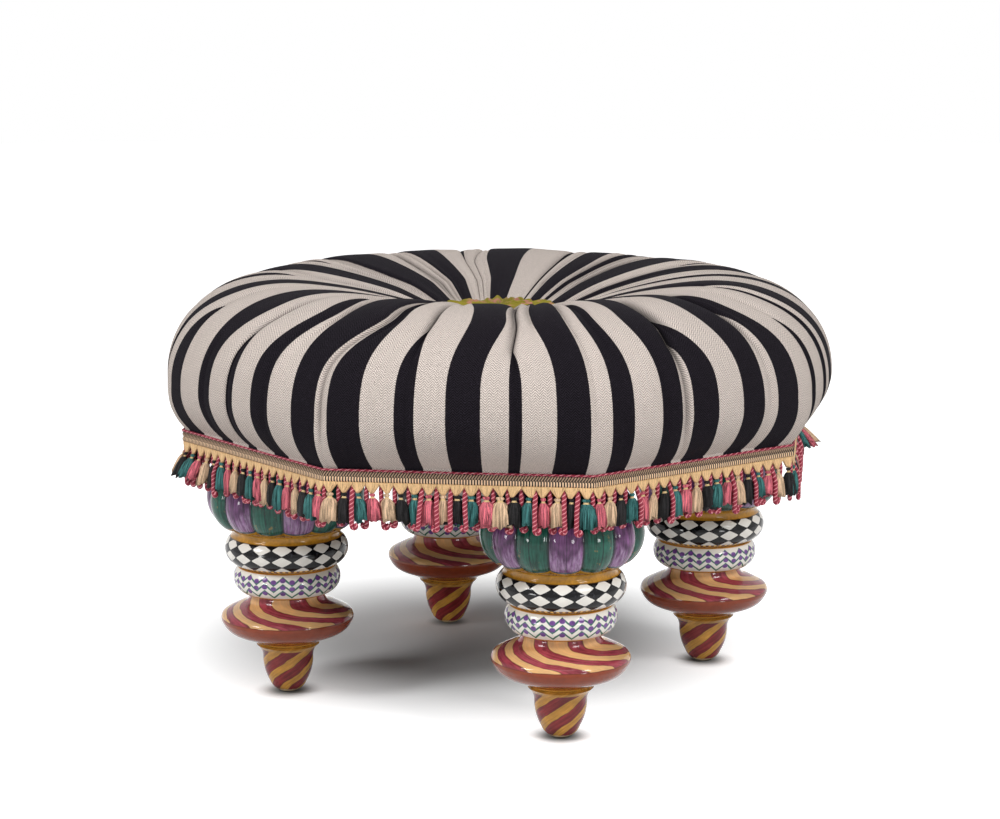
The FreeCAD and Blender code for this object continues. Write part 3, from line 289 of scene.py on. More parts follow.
def add_map(mesh, name, uv):
    """Adds a map with one (u, v) for each face corner."""
    mesh.uv_layers.new(name=name).data.foreach_set("uv", uv.astype(np.float32).ravel())


def repeated_mesh(name, points, faces, uv=None):
    """A mesh of copies: points is (count, points, 3), and faces and uv are those of one copy."""
    count, each = points.shape[:2]
    faces = (faces[None] + each * np.arange(count)[:, None, None]).reshape(-1, 4)
    return mesh_of(name, points.reshape(-1, 3), faces, None if uv is None else np.tile(uv, (count, 1)))


def put(data):
    """Puts a mesh, a lamp or a camera in the scene under its own name."""
    made = bpy.data.objects.new(data.name, data)
    bpy.context.scene.collection.objects.link(made)
    return made


def piece(mesh, look, slot, *nodes):
    """Puts a mesh in the scene on the frame's body, in place of the nodes that it stands for."""
    mesh.materials.append(look)
    made = put(mesh)
    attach(made, "root")
    if nodes:
        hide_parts(*nodes)
    return made


def on_octagon(turns, apothem, height):
    """Points on an octagon: turns counts its sides from the X axis, apothem is the middle of the seat to a side.
    Along a side the point is apothem x (normal + tangent x tan(22.5 degrees) x share), share from -1 to 1."""
    side = np.floor(turns)
    angle = (2 * side + 1) * HALF_SIDE
    slide = (2 * (turns - side) - 1) * math.tan(HALF_SIDE)
    x = apothem * (np.cos(angle) - np.sin(angle) * slide)
    y = apothem * (np.sin(angle) + np.cos(angle) * slide)
    return np.stack(np.broadcast_arrays(x, y, height), axis=-1)


# Seat.

def seat_profile(settings, counts=(3, 18, 30, 26, 9)):
    """Radius, height and octagon share along the seat, from the hem up the side, over the shoulder and the top
    and down into the tuft. The side is a parabola, the shoulder a fuller quarter ellipse, the top falls with
    the power 1.6 of the way in, and the throat is a quarter turn."""
    seat, lip, throat = HEM_RADIUS + settings.overhang, settings.lip_radius, settings.throat_radius
    board, crest = BOARD_HIGH.z, settings.crest_radius
    top = board + settings.crest_height
    hem, climb, turn, share = (np.linspace(0, end, count, endpoint=False)
                               for end, count in zip((1, 1, math.pi / 2, 1), counts))
    fall = 1 - climb
    dip = np.linspace(0, math.pi / 2, counts[4])
    radius = [
        HEM_RADIUS + 0 * hem,
        seat - settings.overhang * fall ** 2,
        crest + (seat - crest) * np.cos(turn) ** 0.92,
        crest - (crest - lip) * share,
        throat + (lip - throat) * (1 - np.sin(dip)),
    ]
    height = [
        COVER_BOTTOM + (HEM_TOP - COVER_BOTTOM) * hem,
        board - (board - HEM_TOP) * fall,
        board + settings.crest_height * np.sin(turn) ** 0.92,
        top - settings.lip_drop * share ** 1.6,
        top - settings.lip_drop - (settings.throat_drop - settings.lip_drop) * (1 - np.cos(dip)),
    ]
    octagon = [1 + 0 * hem, 0.1 + 0.9 * fall ** 1.5, 0.1 * (1 - smooth(0, 0.5, turn)), 0 * share, 0 * dip]
    return np.concatenate(radius), np.concatenate(height), np.concatenate(octagon)


def seat_points(profile, angle, depth):
    """Points of the seat: profile rows against columns at angle, sunk by depth along the profile's normal and
    spread towards the octagon's corners by 1 + share x (1 / cos(angle off the side's middle) - 1)."""
    radius, height, octagon = (line[:, None] for line in profile)
    run, rise = np.gradient(profile[0])[:, None], np.gradient(profile[1])[:, None]
    size = np.hypot(run, rise)
    off = np.mod(angle, 2 * HALF_SIDE) - HALF_SIDE
    spread = 1 + octagon * (1 / np.cos(off) - 1)
    return ring((radius - depth * (rise / size)) * spread, angle, height - depth * (-run / size))


def stripe_edges(profile):
    """Angles of the stripes' edges on each row, dark and pale by turns. Between the levels of the table they
    glide with the cubic 3t^2 - 2t^3, at the hem they are pulled by pull x exp(-(gap / reach)^2), and each stripe
    keeps a sliver where a pleat has swallowed it. In the tuft an edge swings by
    reach x (1 / radius - 1 / inside) x sin(towards - angle)."""
    rim, shoulder, top = np.array(BLACK_STRIPES).reshape(-1, 3, 2).transpose(1, 0, 2).reshape(3, -1)
    path = np.concatenate([[0], np.cumsum(np.hypot(np.diff(profile[0]), np.diff(profile[1])))])
    place = path / path[-1]
    pulled = rim + sum(pull * bell(rim, spot, reach) for spot, pull, reach in HEM_PULLS)
    to_rim = smooth(0.0, 0.17, place)[:, None]
    to_shoulder = smooth(0.25, 0.475, place)[:, None] ** 1.4
    to_top = smooth(0.5, 0.72, place)[:, None]
    edges = pulled + (rim - pulled) * to_rim + (shoulder - rim) * to_shoulder + (top - shoulder) * to_top
    towards, reach, inside = TUFT_PULL
    near = np.clip(1 / profile[0] - 1 / inside, 0, None)[:, None]
    edges = edges + np.degrees(reach * near * np.sin(np.radians(towards - edges)))
    sliver = SLIVER * np.arange(edges.shape[1])
    edges = np.maximum.accumulate(edges - sliver, axis=1) + sliver
    return np.radians(np.concatenate([edges, edges[:, :1] + 360], axis=1)), place


def pleat_depths(settings, edges, place, radius, angle):
    """Depth of the cover below the profile. Each stripe has a steep-sided groove, exp(-gap / reach), deeper with
    the power 1.3 of the share of its cloth that is hidden. A slow wave makes the stuffing uneven. Also returns
    how far each row is free of the hem and the tuft, which hold the cloth down."""
    width = np.diff(edges, axis=1)
    stripes = width.shape[1]
    random = np.random.default_rng(7)
    hidden = np.clip(1 - width * radius / settings.stripe_width, 0, 1)
    lean = random.uniform(-1, 1, stripes)
    bottom = edges[:, :-1] + width * (0.5 + 0.42 * lean)
    strength = random.uniform(0.75, 1.15, stripes)
    middle, reach, eased = EASED_PLEATS
    strength = strength * (1 - eased * bell(np.degrees(edges[len(place) // 2, :-1]), middle, reach))
    free = smooth(0.02, 0.2, place)[:, None] * (0.35 + 0.65 * smooth(1.0, 0.93, place)[:, None])
    groove = settings.pleat_depth * strength * hidden ** 1.3 * (0.12 + 0.88 * free)
    groove = np.minimum(groove, radius * math.pi / stripes * 1.2)
    depth = np.zeros_like(angle)
    for number in range(stripes):
        gap = np.mod(angle - bottom[:, number:number + 1] + np.pi, 2 * np.pi) - np.pi
        gap = gap * radius
        reach = np.where(gap * lean[number] > 0, STEEP, GENTLE) * (0.35 + 0.65 * np.sqrt(radius / radius.max()))
        depth = np.maximum(depth, groove[:, number:number + 1] * np.exp(-np.abs(gap) / reach))
    for waves, size in STUFFING_WAVES:
        phase = random.uniform(0, 2 * np.pi)
        drift = random.uniform(-5, 5)
        depth = depth + size * free * (1 + np.sin(waves * angle + phase + drift * place[:, None])) / 2
    return depth, free


def cover_mesh(settings):
    """The pleated cover, with a plain inner face. Columns follow the stripes' edges. Returns the points, the
    stripe and the share across it of each column, and the width shown, the path and the fold of each row."""
    per_stripe, inner_rows, fullness, hem_depth = 12, 16, 0.0024, 0.0018
    profile = seat_profile(settings)
    edges, place = stripe_edges(profile)
    width = np.diff(edges, axis=1)
    radius = profile[0][:, None]
    stripes = width.shape[1]
    stripe = np.repeat(np.arange(stripes), per_stripe)
    share = np.tile((1 - np.cos(np.pi * np.arange(per_stripe) / per_stripe)) / 2, stripes)
    angle = edges[:, stripe] + share * width[:, stripe]
    depth, free = pleat_depths(settings, edges, place, radius, angle)
    fold = np.clip(depth / settings.pleat_depth, 0, 1)
    outer = seat_points(profile, angle, depth - fullness * free)
    picked = np.linspace(0, len(place) - 1, inner_rows).round().astype(int)
    ends = (picked == 0) | (picked == len(place) - 1)
    sunk = np.where(ends, hem_depth, settings.shell)[:, None]
    inner = seat_points([line[picked] for line in profile], angle[picked], sunk)[::-1]
    rows = np.concatenate([np.arange(len(place)), picked[::-1]])
    shown_width = (width * radius)[rows][:, stripe]
    return np.concatenate([outer, inner]), stripe, share, shown_width, place[rows], fold[rows]


def cover(settings):
    """Striped cover. Its first map holds the stripe's number with the share across it, and the path up the seat;
    its second holds metres of cloth across and along, for the weave, each face read from its own stripe. Its
    attribute Fold is the share of the deepest pleat, for the shade in the folds."""
    points, stripe, share, across, path, fold = cover_mesh(settings)
    number = np.append(stripe + share, stripe[-1] + 1)
    mesh = grid_mesh("striped_cover_cloth", points, True, map_of(number, path))
    attribute = mesh.attributes.new(name="Fold", type="FLOAT", domain="POINT")
    attribute.data.foreach_set("value", fold.astype(np.float32).ravel())
    far_share = np.where(np.roll(stripe, -1) == stripe, np.roll(share, -1), 1.0)
    start, finish = ((part - 0.5) * across + stripe * settings.stripe_width for part in (share, far_share))
    level = np.broadcast_to((path * CLOTH_LENGTH)[:, None], start.shape)
    next_start, next_finish, next_level = (np.roll(part, -1, axis=0) for part in (start, finish, level))
    corner_u = np.stack([start, finish, next_finish, next_start], axis=-1)
    corner_v = np.stack([level, level, next_level, next_level], axis=-1)
    add_map(mesh, "Weave", np.stack([corner_u, corner_v], axis=-1))
    made = piece(mesh, striped_twill(), "striped_twill", "striped_cover")


def layer_face(settings, first, last, depth):
    """The seat's form sunk by depth, from row first to row last of a plainer profile."""
    part = [line[first:last] for line in seat_profile(settings, LAYER_ROWS)]
    return seat_points(part, circle(128)[None, :], depth)


def wadding(settings):
    """Closed layer of wadding under the cover."""
    over, under = (layer_face(settings, 5, 37, depth) for depth in (WADDING_TOP, WADDING_UNDER))
    points = np.concatenate([over, under[::-1]])
    made = piece(grid_mesh("wadding_layer", points, True), cotton_wadding(), "cotton_wadding", "wadding")


def foam_bun(settings):
    """Foam cushion: the seat's form below the wadding, flat underneath, with a hollow for the tuft and a hole for
    its twine."""
    hole_radius, floor, hollow = 0.0018, BOARD_HIGH.z + SOFT_GAP, FORMER_LOW.z - SOFT_GAP
    outside = layer_face(settings, 10, None, FOAM_TOP)
    outside[0, :, 2], outside[-1, :, 2] = floor, hollow
    hole = [ring(hole_radius, circle(128), height)[None] for height in (hollow, floor)]
    made = piece(grid_mesh("foam_cushion", np.concatenate([outside, *hole]), True), foam(), "foam", "foam_bun")


def edge_roll(settings):
    """Foam strip round the rails: the side's form below the wadding, with a plain back against the rails."""
    outside = layer_face(settings, 4, 11, FOAM_TOP)
    angle = circle(128)[None, :]
    off = np.mod(angle, 2 * HALF_SIDE) - HALF_SIDE
    back = BOARD_HIGH.x * math.cos(HALF_SIDE) + SOFT_GAP
    inside = ring(back / np.cos(off), angle, outside[..., 2])[::-1]
    made = piece(grid_mesh("edge_roll_foam", np.concatenate([outside, inside]), True), foam(), "foam", "edge_roll")


def rosette(settings):
    """Gathered rosette: a low dome whose cloth ripples with sin(gathers x angle), more towards the rim, and is
    drawn into a dimple in the middle; its underside is hollow for the former."""
    gather_count, top_rows, hollow = 34, 22, 0.0062
    angle = circle(288)[None, :]
    reach = np.concatenate([np.linspace(0.03, 0.9, top_rows), [0.95, 0.985, 1.0, 0.995, 0.975]])[:, None]
    fall = np.concatenate([np.zeros(top_rows), [0.0002, 0.0009, 0.0028, 0.006, 0.0095]])[:, None]
    base = FORMER_LOW.z + SOFT_GAP
    random = np.random.default_rng(3)
    gathers = gather_count * angle + 1.4 * np.sin(3 * angle + 1) + 0.9 * np.sin(7 * angle)
    ripple = 0.0019 * np.sin(gathers + 2.5 * reach) * np.clip(reach * 1.6, 0, 1)
    crumple = 0.0017 * np.sin(11 * angle + 9 * reach + random.uniform(0, 6)) * reach
    crumple = crumple + 0.0012 * np.sin(5 * angle - 4 * reach + random.uniform(0, 6)) * reach
    dome = 0.0152 + 0.0004 * (1 - reach ** 2) - 0.0035 * bell(reach, 0, 0.10)
    radius = (settings.throat_radius - 0.0006) * reach * (1 - 0.010 * (1 + np.sin(gathers)) * reach ** 8)
    former = FORMER_HIGH.x + 0.0002
    under = [ring(r, angle, base + z) for r, z in ((former, 0.0), (former, hollow), (0.0015, hollow))]
    points = np.concatenate([ring(radius, angle, base + dome - fall + ripple + crumple), *under])
    uv = map_of(np.linspace(0, gather_count, 289), np.linspace(0, 1, len(points)))
    made = piece(grid_mesh("gathered_rosette", points, True, uv, True), olive_cloth(), "olive_cloth",
                 "centre_rosette")


# Trim.

def band(settings):
    """Woven band: two rounded rows of ribs carried round the octagon. The face swells by the square root of the
    sine up each row, and every second column stands back, which makes the ribs."""
    ribs = 2 * round(BAND_ROUND / settings.rib_pitch / SIDES) * SIDES
    turns = np.linspace(0, SIDES, ribs, endpoint=False)[None, :]
    low, high = BRAID_LOW.z, BRAID_HIGH.z
    rise = np.linspace(0, 1, 13)[:, None]
    row = np.abs(np.sin(2 * np.pi * rise)) ** 0.5
    rib = np.where(np.arange(ribs) % 2 == 0, 1.0, 0.35)[None, :]
    swell = BAND_THICKNESS * (0.45 + 0.75 * row * rib)
    lean = 0.35 * SIDES / ribs * np.where(rise > 0.5, (rise - 0.75) * 8, 0)
    front = on_octagon(np.mod(turns + lean, SIDES - 1e-9), BAND_BACK + swell, low + (high - low) * rise)
    back = on_octagon(turns, BAND_BACK, np.array([[high], [low]]))
    uv = map_of(np.arange(ribs + 1) / 2 + 0.25, np.append(rise[:, 0], [1, 0]))
    piece(grid_mesh("woven_band", np.concatenate([front, back]), True, uv), braid_weave(), "woven_braid", "braid")


def twisted_ring():
    """Two-ply cord along the band's top edge: a two-lobed section, radius x (0.74 + 0.26 cos(2 x turn)), that
    turns as it goes and lifts in small loops."""
    radius = (LIP_HIGH.z - LIP_LOW.z) / 2
    count, twist = 1600, 0.0085
    turns = np.linspace(0, SIDES, count, endpoint=False)[:, None]
    whole = round(BAND_ROUND / twist)
    around = circle(10)[None, :]
    spin = 2 * np.pi * whole * turns / SIDES
    thick = radius * 1.15 * (0.74 + 0.26 * np.cos(2 * (around - spin)))
    middle = BAND_BACK + radius + 0.0003 * np.sin(spin)
    height = LIP_LOW.z + radius + 0.0004 * np.cos(2 * spin)
    points = on_octagon(turns, middle + thick * np.cos(around), height + thick * np.sin(around))
    uv = map_of(np.linspace(0, 1, 11), np.linspace(0, whole, count))
    piece(grid_mesh("twisted_lip_cord", points, True, uv, True), twisted_cord("lip_cord", 0.5), "rose_cord",
          "lip_cord")


def heading(settings):
    """Cream heading of bound threads. Each tab keeps its full width down to the notch and then narrows with a
    power of the way to the tip, 0.9 to 1.6 by tab, where its threads are bunched and stand further out."""
    tabs = settings.per_side * SIDES
    notch = 0.2
    across, down = np.linspace(-1, 1, 9), np.array([0, notch, 0.35, 0.5, 0.65, 0.82, 1])[:, None]
    tab = np.arange(tabs)[:, None, None]
    random = np.random.default_rng(17)
    power, drift = random.uniform(0.9, 1.6, (tabs, 1, 1)), random.normal(0, 0.07, (tabs, 1, 1))
    narrow = np.clip((down - notch) / (1 - notch), 0, 1) ** power
    half = 1.0 - narrow * random.uniform(0.62, 0.80, (tabs, 1, 1))
    turns = (tab + 0.5 + 0.5 * across * half + drift * narrow) / settings.per_side
    turns = np.clip(turns, tab / settings.per_side, (tab + 1) / settings.per_side - 1e-6)
    bulge = 0.0007 * np.cos(across * np.pi / 2) + 0.0011 * narrow * np.cos(across * np.pi / 2)
    height = HEADER_HIGH.z + (HEADER_LOW.z - HEADER_HIGH.z) * down
    front = on_octagon(turns, BAND_BACK + BAND_THICKNESS * 0.75 + bulge, height)
    back = on_octagon(turns, BAND_BACK + 0.0001, height)
    rows, columns = len(down), len(across)
    index = np.arange(rows * columns).reshape(rows, columns)
    rim = np.concatenate([index[0, :-1], index[:-1, -1], index[-1, :0:-1], index[:0:-1, 0]])
    row, column = grid_corners(rows, columns, closed_columns=False, hung=True)
    sheet = row * columns + column
    edge = np.stack([rim, np.roll(rim, -1), np.roll(rim, -1) + index.size, rim + index.size], axis=-1)
    faces = np.concatenate([sheet, sheet[:, ::-1] + index.size, edge])
    flat = np.stack([np.tile(across, rows), np.repeat(down[:, 0], columns)], axis=-1)
    points = np.concatenate([front.reshape(tabs, -1, 3), back.reshape(tabs, -1, 3)], axis=1)
    mesh = repeated_mesh("fringe_heading", points, faces, np.concatenate([flat, flat])[faces.ravel()])
    piece(mesh, bound_thread(), "cream_thread", "fringe_header")


def hung_mesh(name, shapes, numbers, per_side, apothem, top, lift, along=None):
    """Hangs shapes (count, rings, sides, 3) from the fringe at places numbers, with their widths along the side
    and their depths outwards. The map holds the share round and what along gives for each ring, or its share."""
    count, rings, sides = shapes.shape[:3]
    turns = (numbers + lift) / per_side
    angle = (2 * np.floor(turns) + 1) * HALF_SIDE
    out, beside = (ring(1, turned, 0.0)[:, None, None] for turned in (angle, angle + math.pi / 2))
    points = on_octagon(turns, apothem, top)[:, None, None] + shapes[..., 0:1] * beside + shapes[..., 1:2] * out
    points[..., 2] += shapes[..., 2]
    row, column = grid_corners(rings, sides, hung=True)
    if along is None:
        along = np.arange(rings) / (rings - 1)
    uv = np.stack([column / sides, along[row]], axis=-1).reshape(-1, 2)
    return repeated_mesh(name, points.reshape(count, -1, 3), row * sides + column % sides, uv)


def tassel_shapes(settings, count, seed):
    """Points of count tassels about their tops: the rings of the table, fluted on every second side of the skirt
    by 0.14, ragged at the hem, each of its own size and hanging askew by seeded random amounts."""
    sides, flute, ragged_by, tilt = 16, 0.14, 0.13, 0.08
    random = np.random.default_rng(seed)
    share, drop = np.array(TASSEL_RINGS).T
    ripple = 1 + flute * np.where(np.arange(sides) % 2 == 0, 1, -1)[None, :] * smooth(0.2, 0.6, share)[:, None]
    outline = ring(share[:, None] * ripple, circle(sides), 0.0)
    low = smooth(0.3, 1.0, drop / drop.max())[None, :, None]
    ragged = 1 + ragged_by * random.uniform(-1, 1, (count, 1, sides)) * low
    spans = ((0.92, 1.06), (0.76, 1.25), (0.85, 1.15))
    stretch, wide, deep = (random.uniform(*span, (count, 1, 1)) for span in spans)
    height = -drop[None, :, None] * stretch * ragged
    lean, push = random.normal(0, tilt, (2, count, 1, 1))
    x = settings.skirt_width * wide * outline[..., 0] - np.sin(lean) * height
    y = settings.skirt_depth * deep * outline[..., 1] - np.abs(np.sin(push)) * 0.35 * height
    return np.stack([x, y, height], axis=-1)


def tassels(settings):
    """Tassels in four colours by turns: a tied head, a cream binding and a fluted, ragged skirt. Those at two
    corners are swept outwards by slope x exp(-((place - spot) / reach)^2) of their drop."""
    apothem = BAND_BACK + BAND_THICKNESS / 2 + 0.0008
    for place, colour in enumerate(("teal", "rose", "cream", "black")):
        numbers = np.arange(place, settings.per_side * SIDES, 4)
        shapes = tassel_shapes(settings, len(numbers), 11 + place)
        turns = (numbers + 0.5) / settings.per_side
        swept = sum(slope * bell(turns, spot, reach) for spot, reach, slope in SWEPT_OUT)[:, None, None]
        shapes[..., 1] -= swept * shapes[..., 2]
        shapes[..., 2] *= 1 - 0.35 * swept
        mesh = hung_mesh(f"tassels_{colour}_thread", shapes, numbers, settings.per_side, apothem, TASSEL_TOP, 0.5)
        piece(mesh, tassel_thread(colour), f"{colour}_thread", f"tassels_{colour}")


def twisted_cords(settings):
    """Twisted cords that hang behind the notches of the heading. Each runs straight down and ends in a hook, a
    part circle, and its section is a ring of eight carried square to that path. The map holds the share round
    and the millimetres along."""
    total = settings.per_side * SIDES
    random = np.random.default_rng(29)
    radius, hook = settings.cord_radius, settings.cord_radius * 0.85
    drop = CORD_HIGH.z - CORD_LOW.z - hook - radius * 0.6
    straight, turn = np.linspace(0, 1, 7), np.linspace(0, 1.5 * np.pi, 9)[1:]
    side = random.choice([-1.0, 1.0], (total, 1))
    reach = drop * random.uniform(0.93, 1.03, (total, 1))
    sway = random.normal(0, 0.0018, (total, 1))
    middle = side * hook
    along = np.concatenate([sway * straight, sway + middle - middle * np.cos(turn)], axis=1)
    height = np.concatenate([-reach * straight, -reach - hook * np.sin(turn)], axis=1)
    heading_along = np.concatenate([np.zeros((total, 7)), side * np.sin(turn)], axis=1)
    heading_down = np.concatenate([-np.ones(7), -np.cos(turn)])[None, :, None]
    thick = radius * np.concatenate([[0.5, 1], np.ones(11), [0.8, 0.1]])[None, :, None]
    section = ring(thick, circle(8), 0.0)
    x = along[..., None] - section[..., 0] * heading_down
    z = height[..., None] + section[..., 0] * heading_along[..., None]
    forward = random.choice([0.0, 0.0095], (total, 1, 1), p=[0.76, 0.24])
    forward = forward * smooth(0, drop * 0.55, -height)[..., None]
    shapes = np.stack([x, section[..., 1] + forward, z], axis=-1)
    millimetres = np.concatenate([drop * straight, drop + hook * turn]) * 1000
    mesh = hung_mesh("twisted_fringe_cords", shapes, np.arange(total), settings.per_side,
                     BAND_BACK - radius * 0.6, CORD_HIGH.z, 0.0, millimetres)
    piece(mesh, twisted_cord("fringe_cord", 0.11), "rose_cord", "bullion_cords")


# Legs.

def bulb(number, settings):
    """Lobed bulb: the profile swells with a fuller sine, and each lobe bulges by |sin(lobes x angle / 2)| to the
    power 0.62, with scalloped lower ends; the neck above is plain."""
    columns, rows = settings.lobes * 16, 34
    waist, widest, neck, bore, foot = 0.056, 0.0925, 0.040, 0.008, 0.064
    lobed_height, neck_top = 0.0842, 0.1002
    spot = LEG_SPOTS[number]
    turned = circle(columns)[None, :] + math.atan2(spot[1], spot[0])
    lobe = np.abs(np.sin(settings.lobes * circle(columns)[None, :] / 2)) ** 0.62
    rise = np.linspace(0, 1, rows)[:, None]
    full = waist + (widest - waist) * np.sin(np.pi * (0.10 + 0.86 * rise ** 0.86)) ** 0.66
    valley = settings.lobe_depth * (0.25 + 0.75 * np.sin(np.pi * np.clip(rise * 1.04, 0, 1)) ** 0.5)
    height = 0.0006 + lobed_height * rise + 0.0035 * (1 - lobe) * (1 - rise) ** 6
    body = ring(full - valley * (1 - lobe), turned, BULB_BOTTOM + height)
    plain = ((neck + 0.004, lobed_height - 0.0006), (neck, lobed_height + 0.004), (neck, neck_top),
             (bore, neck_top), (bore, 0.0), (foot, 0.0))
    points = np.concatenate([body, *(ring(r, turned, BULB_BOTTOM + z) for r, z in plain)])
    level = np.append(rise[:, 0], [1.05, 1.1, 1.2, 1.3, -0.2, -0.1])
    uv = map_of(np.linspace(0, settings.lobes, columns + 1), level)
    mesh = grid_mesh(f"lobed_bulb_glazed_{number + 1}", points + [spot[0], spot[1], 0.0], True, uv)
    piece(mesh, lobe_glaze(), "lobe_glaze", f"lobed_bulb_{number + 1}")


def dust_cover():
    """Black cloth under the frame, cut out round the leg plates. Each quarter is ruled from the circle round its
    plate to the quarter's outline, and the cloth sags a little between its tacks."""
    hole, apothem, sag, crease = 0.0583, DUST_HIGH.x * math.cos(HALF_SIDE), 0.004, 0.0002
    columns, rows, open_end = 96, 12, 9.0
    reach = LEG_OFFSET * math.sqrt(2)
    way = ring(1, circle(columns) + math.pi / columns, 0.0)
    limit = open_end
    corner = 3 * math.pi / 4
    for towards, far in ((-HALF_SIDE, apothem), (HALF_SIDE, apothem), (corner, 0.0), (-corner, 0.0)):
        speed = way[:, 0] * math.cos(towards) + way[:, 1] * math.sin(towards)
        gap = (far - reach * math.cos(towards)) / np.where(np.abs(speed) < 1e-9, 1e-9, speed)
        limit = np.minimum(limit, np.where(gap > 0, gap, open_end))
    away = hole + (limit - hole) * np.linspace(0, 1, rows)[:, None]
    x, y = (reach + away * way[:, 0]).ravel(), (away * way[:, 1]).ravel()
    spin = (math.pi / 4 + np.arange(4) * math.pi / 2)[:, None]
    x, y = x * np.cos(spin) - y * np.sin(spin), x * np.sin(spin) + y * np.cos(spin)
    wrinkle = crease * np.sin(90 * x + 20 * y) * np.sin(70 * y)
    height = DUST_LOW.z - sag * np.clip(1 - (np.hypot(x, y) / 0.2) ** 2, 0, 1) + wrinkle
    row, column = grid_corners(rows, columns)
    faces = (row * columns + column % columns)[:, ::-1]
    mesh = repeated_mesh("dust_cover_cloth", np.stack([x, y, height], axis=-1), faces)
    made = piece(mesh, dust_cloth(), "dust_cloth", "dust_cover")
    made.modifiers.new("Joined quarters", "WELD").merge_threshold = 0.00001
    thick = made.modifiers.new("Thickness", "SOLIDIFY")
    thick.thickness, thick.offset = DUST_HIGH.z - DUST_LOW.z, -1


# Shader graphs.

class Wire:
    """A node's output. Python arithmetic on it, and the functions of MATHS, add Math nodes."""

    def __init__(self, graph, socket):
        self.graph, self.socket = graph, socket

    def maths(self, operation, *values):
        return self.graph.node("ShaderNodeMath", {"operation": operation}, dict(enumerate(values)))

    def __rsub__(self, other):
        return self.maths("SUBTRACT", other, self)

    def wave(self, times=1):
        """Sine of a value in turns."""
        return (self * (2 * times) * math.pi).sine()

    def step(self, low, high):
        """Zero below low and one above high, smooth between."""
        return self.graph.node("ShaderNodeMapRange", {"interpolation_type": "SMOOTHSTEP"},
                               {"Value": self, "From Min": low, "From Max": high})

    def below(self, low, high):
        """One below low and zero above high."""
        return 1 - self.step(low, high)

    def line(self, inner, outer):
        """One where the value is within inner of zero, and zero past outer."""
        return abs(self).below(inner, outer)


MATHS = {
    "__add__": "ADD", "__radd__": "ADD", "__sub__": "SUBTRACT", "__mul__": "MULTIPLY", "__rmul__": "MULTIPLY",
    "__truediv__": "DIVIDE", "__pow__": "POWER", "__mod__": "FLOORED_MODULO", "__abs__": "ABSOLUTE",
    "sine": "SINE", "sign": "SIGN", "root": "SQRT", "angle": "ARCTAN2", "most": "MAXIMUM", "least": "MINIMUM",
}
for method, operation in MATHS.items():
    setattr(Wire, method, lambda self, *others, operation=operation: self.maths(operation, self, *others))


class Graph:
    """The nodes round a shader."""

    def __init__(self, owner, shader, **constants):
        owner.use_nodes = True
        self.tree = owner.node_tree
        self.shader = self.tree.nodes[shader]
        for socket, value in constants.items():
            self.shader.inputs[socket.replace("_", " ")].default_value = value

    def node(self, kind, settings=None, sockets=None, output=0):
        """Adds a node: settings first, then socket values or links. Returns one of its outputs."""
        made = self.tree.nodes.new(kind)
        for name, value in (settings or {}).items():
            setattr(made, name, value)
        for key, value in (sockets or {}).items():
            self.feed(made.inputs[key], value)
        return Wire(self, made.outputs[output])

    def feed(self, socket, value):
        """Links a wire to a socket, or sets the socket's own value."""
        if isinstance(value, Wire):
            self.tree.links.new(value.socket, socket)
        elif socket.type == "RGBA":
            socket.default_value = (*value, 1.0)
        else:
            socket.default_value = value

    def place(self):
        """Object coordinates."""
        return self.node("ShaderNodeTexCoord", output="Object")

    def uv(self, name="UVMap"):
        """A UV map's two coordinates."""
        return self.split(self.node("ShaderNodeUVMap", {"uv_map": name}))[:2]

    def split(self, vector):
        """The three parts of a vector."""
        parts = self.node("ShaderNodeSeparateXYZ", None, {0: vector}).socket.node.outputs
        return [Wire(self, part) for part in parts]

    def join(self, x, y, z=0.0):
        """A vector from three parts."""
        return self.node("ShaderNodeCombineXYZ", None, {0: x, 1: y, 2: z})

    def noise(self, scale, detail=3.0, vector=None, roughness=0.55):
        """Noise from 0 to 1 on Object coordinates or a given vector."""
        return self.node("ShaderNodeTexNoise", None, {
            "Vector": vector or self.place(), "Scale": scale, "Detail": detail, "Roughness": roughness})

    def wobble(self, scale, size):
        """Noise about zero."""
        return (self.noise(scale, 2.0) - 0.5) * size

    def cells(self, scale, output=0):
        """Cells scattered through space."""
        return self.node("ShaderNodeTexVoronoi", None, {"Vector": self.place(), "Scale": scale}, output)

    def mix(self, base, other, factor):
        """Mixes two colours."""
        return self.node("ShaderNodeMix", {"data_type": "RGBA"}, {0: factor, 6: base, 7: other}, 2)

    def tones(self, colour, low, high, factor):
        """Mixes a colour scaled by low with the same scaled by high."""
        return self.mix(darker(colour, low), darker(colour, high), factor)

    def brushed(self, colour, vector=None, low=0.62, high=1.3):
        """A colour laid on by brush: streaks and pools of thicker and thinner glaze."""
        stroke = self.noise(3.0 if vector else 260.0, 5.0, vector, 0.65)
        return self.tones(colour, low, high, (stroke * 0.7 + self.noise(75.0, 3.0) * 0.3).step(0.28, 0.74))

    def finish(self, colour, height, distance, strength=1.0, rough=None):
        """Feeds the shader its colour, the relief of a height map in metres and a roughness that varies."""
        normal = self.node("ShaderNodeBump", None, {"Strength": strength, "Distance": distance, "Height": height})
        self.feed(self.shader.inputs["Base Color"], colour)
        self.feed(self.shader.inputs["Normal"], normal)
        if rough is not None:
            self.feed(self.shader.inputs["Roughness"], rough)

    def finish_glaze(self, colour, relief=None):
        """Feeds the shader colour, an uneven skin and worn, duller specks."""
        skin = self.noise(38.0, 2.0) * 0.8 + self.noise(240.0, 2.0) * 0.12
        rough = 0.07 + self.noise(120.0, 4.0).step(0.5, 0.85) * 0.16
        self.finish(colour, skin if relief is None else skin + relief, 0.0016, 0.35, rough)


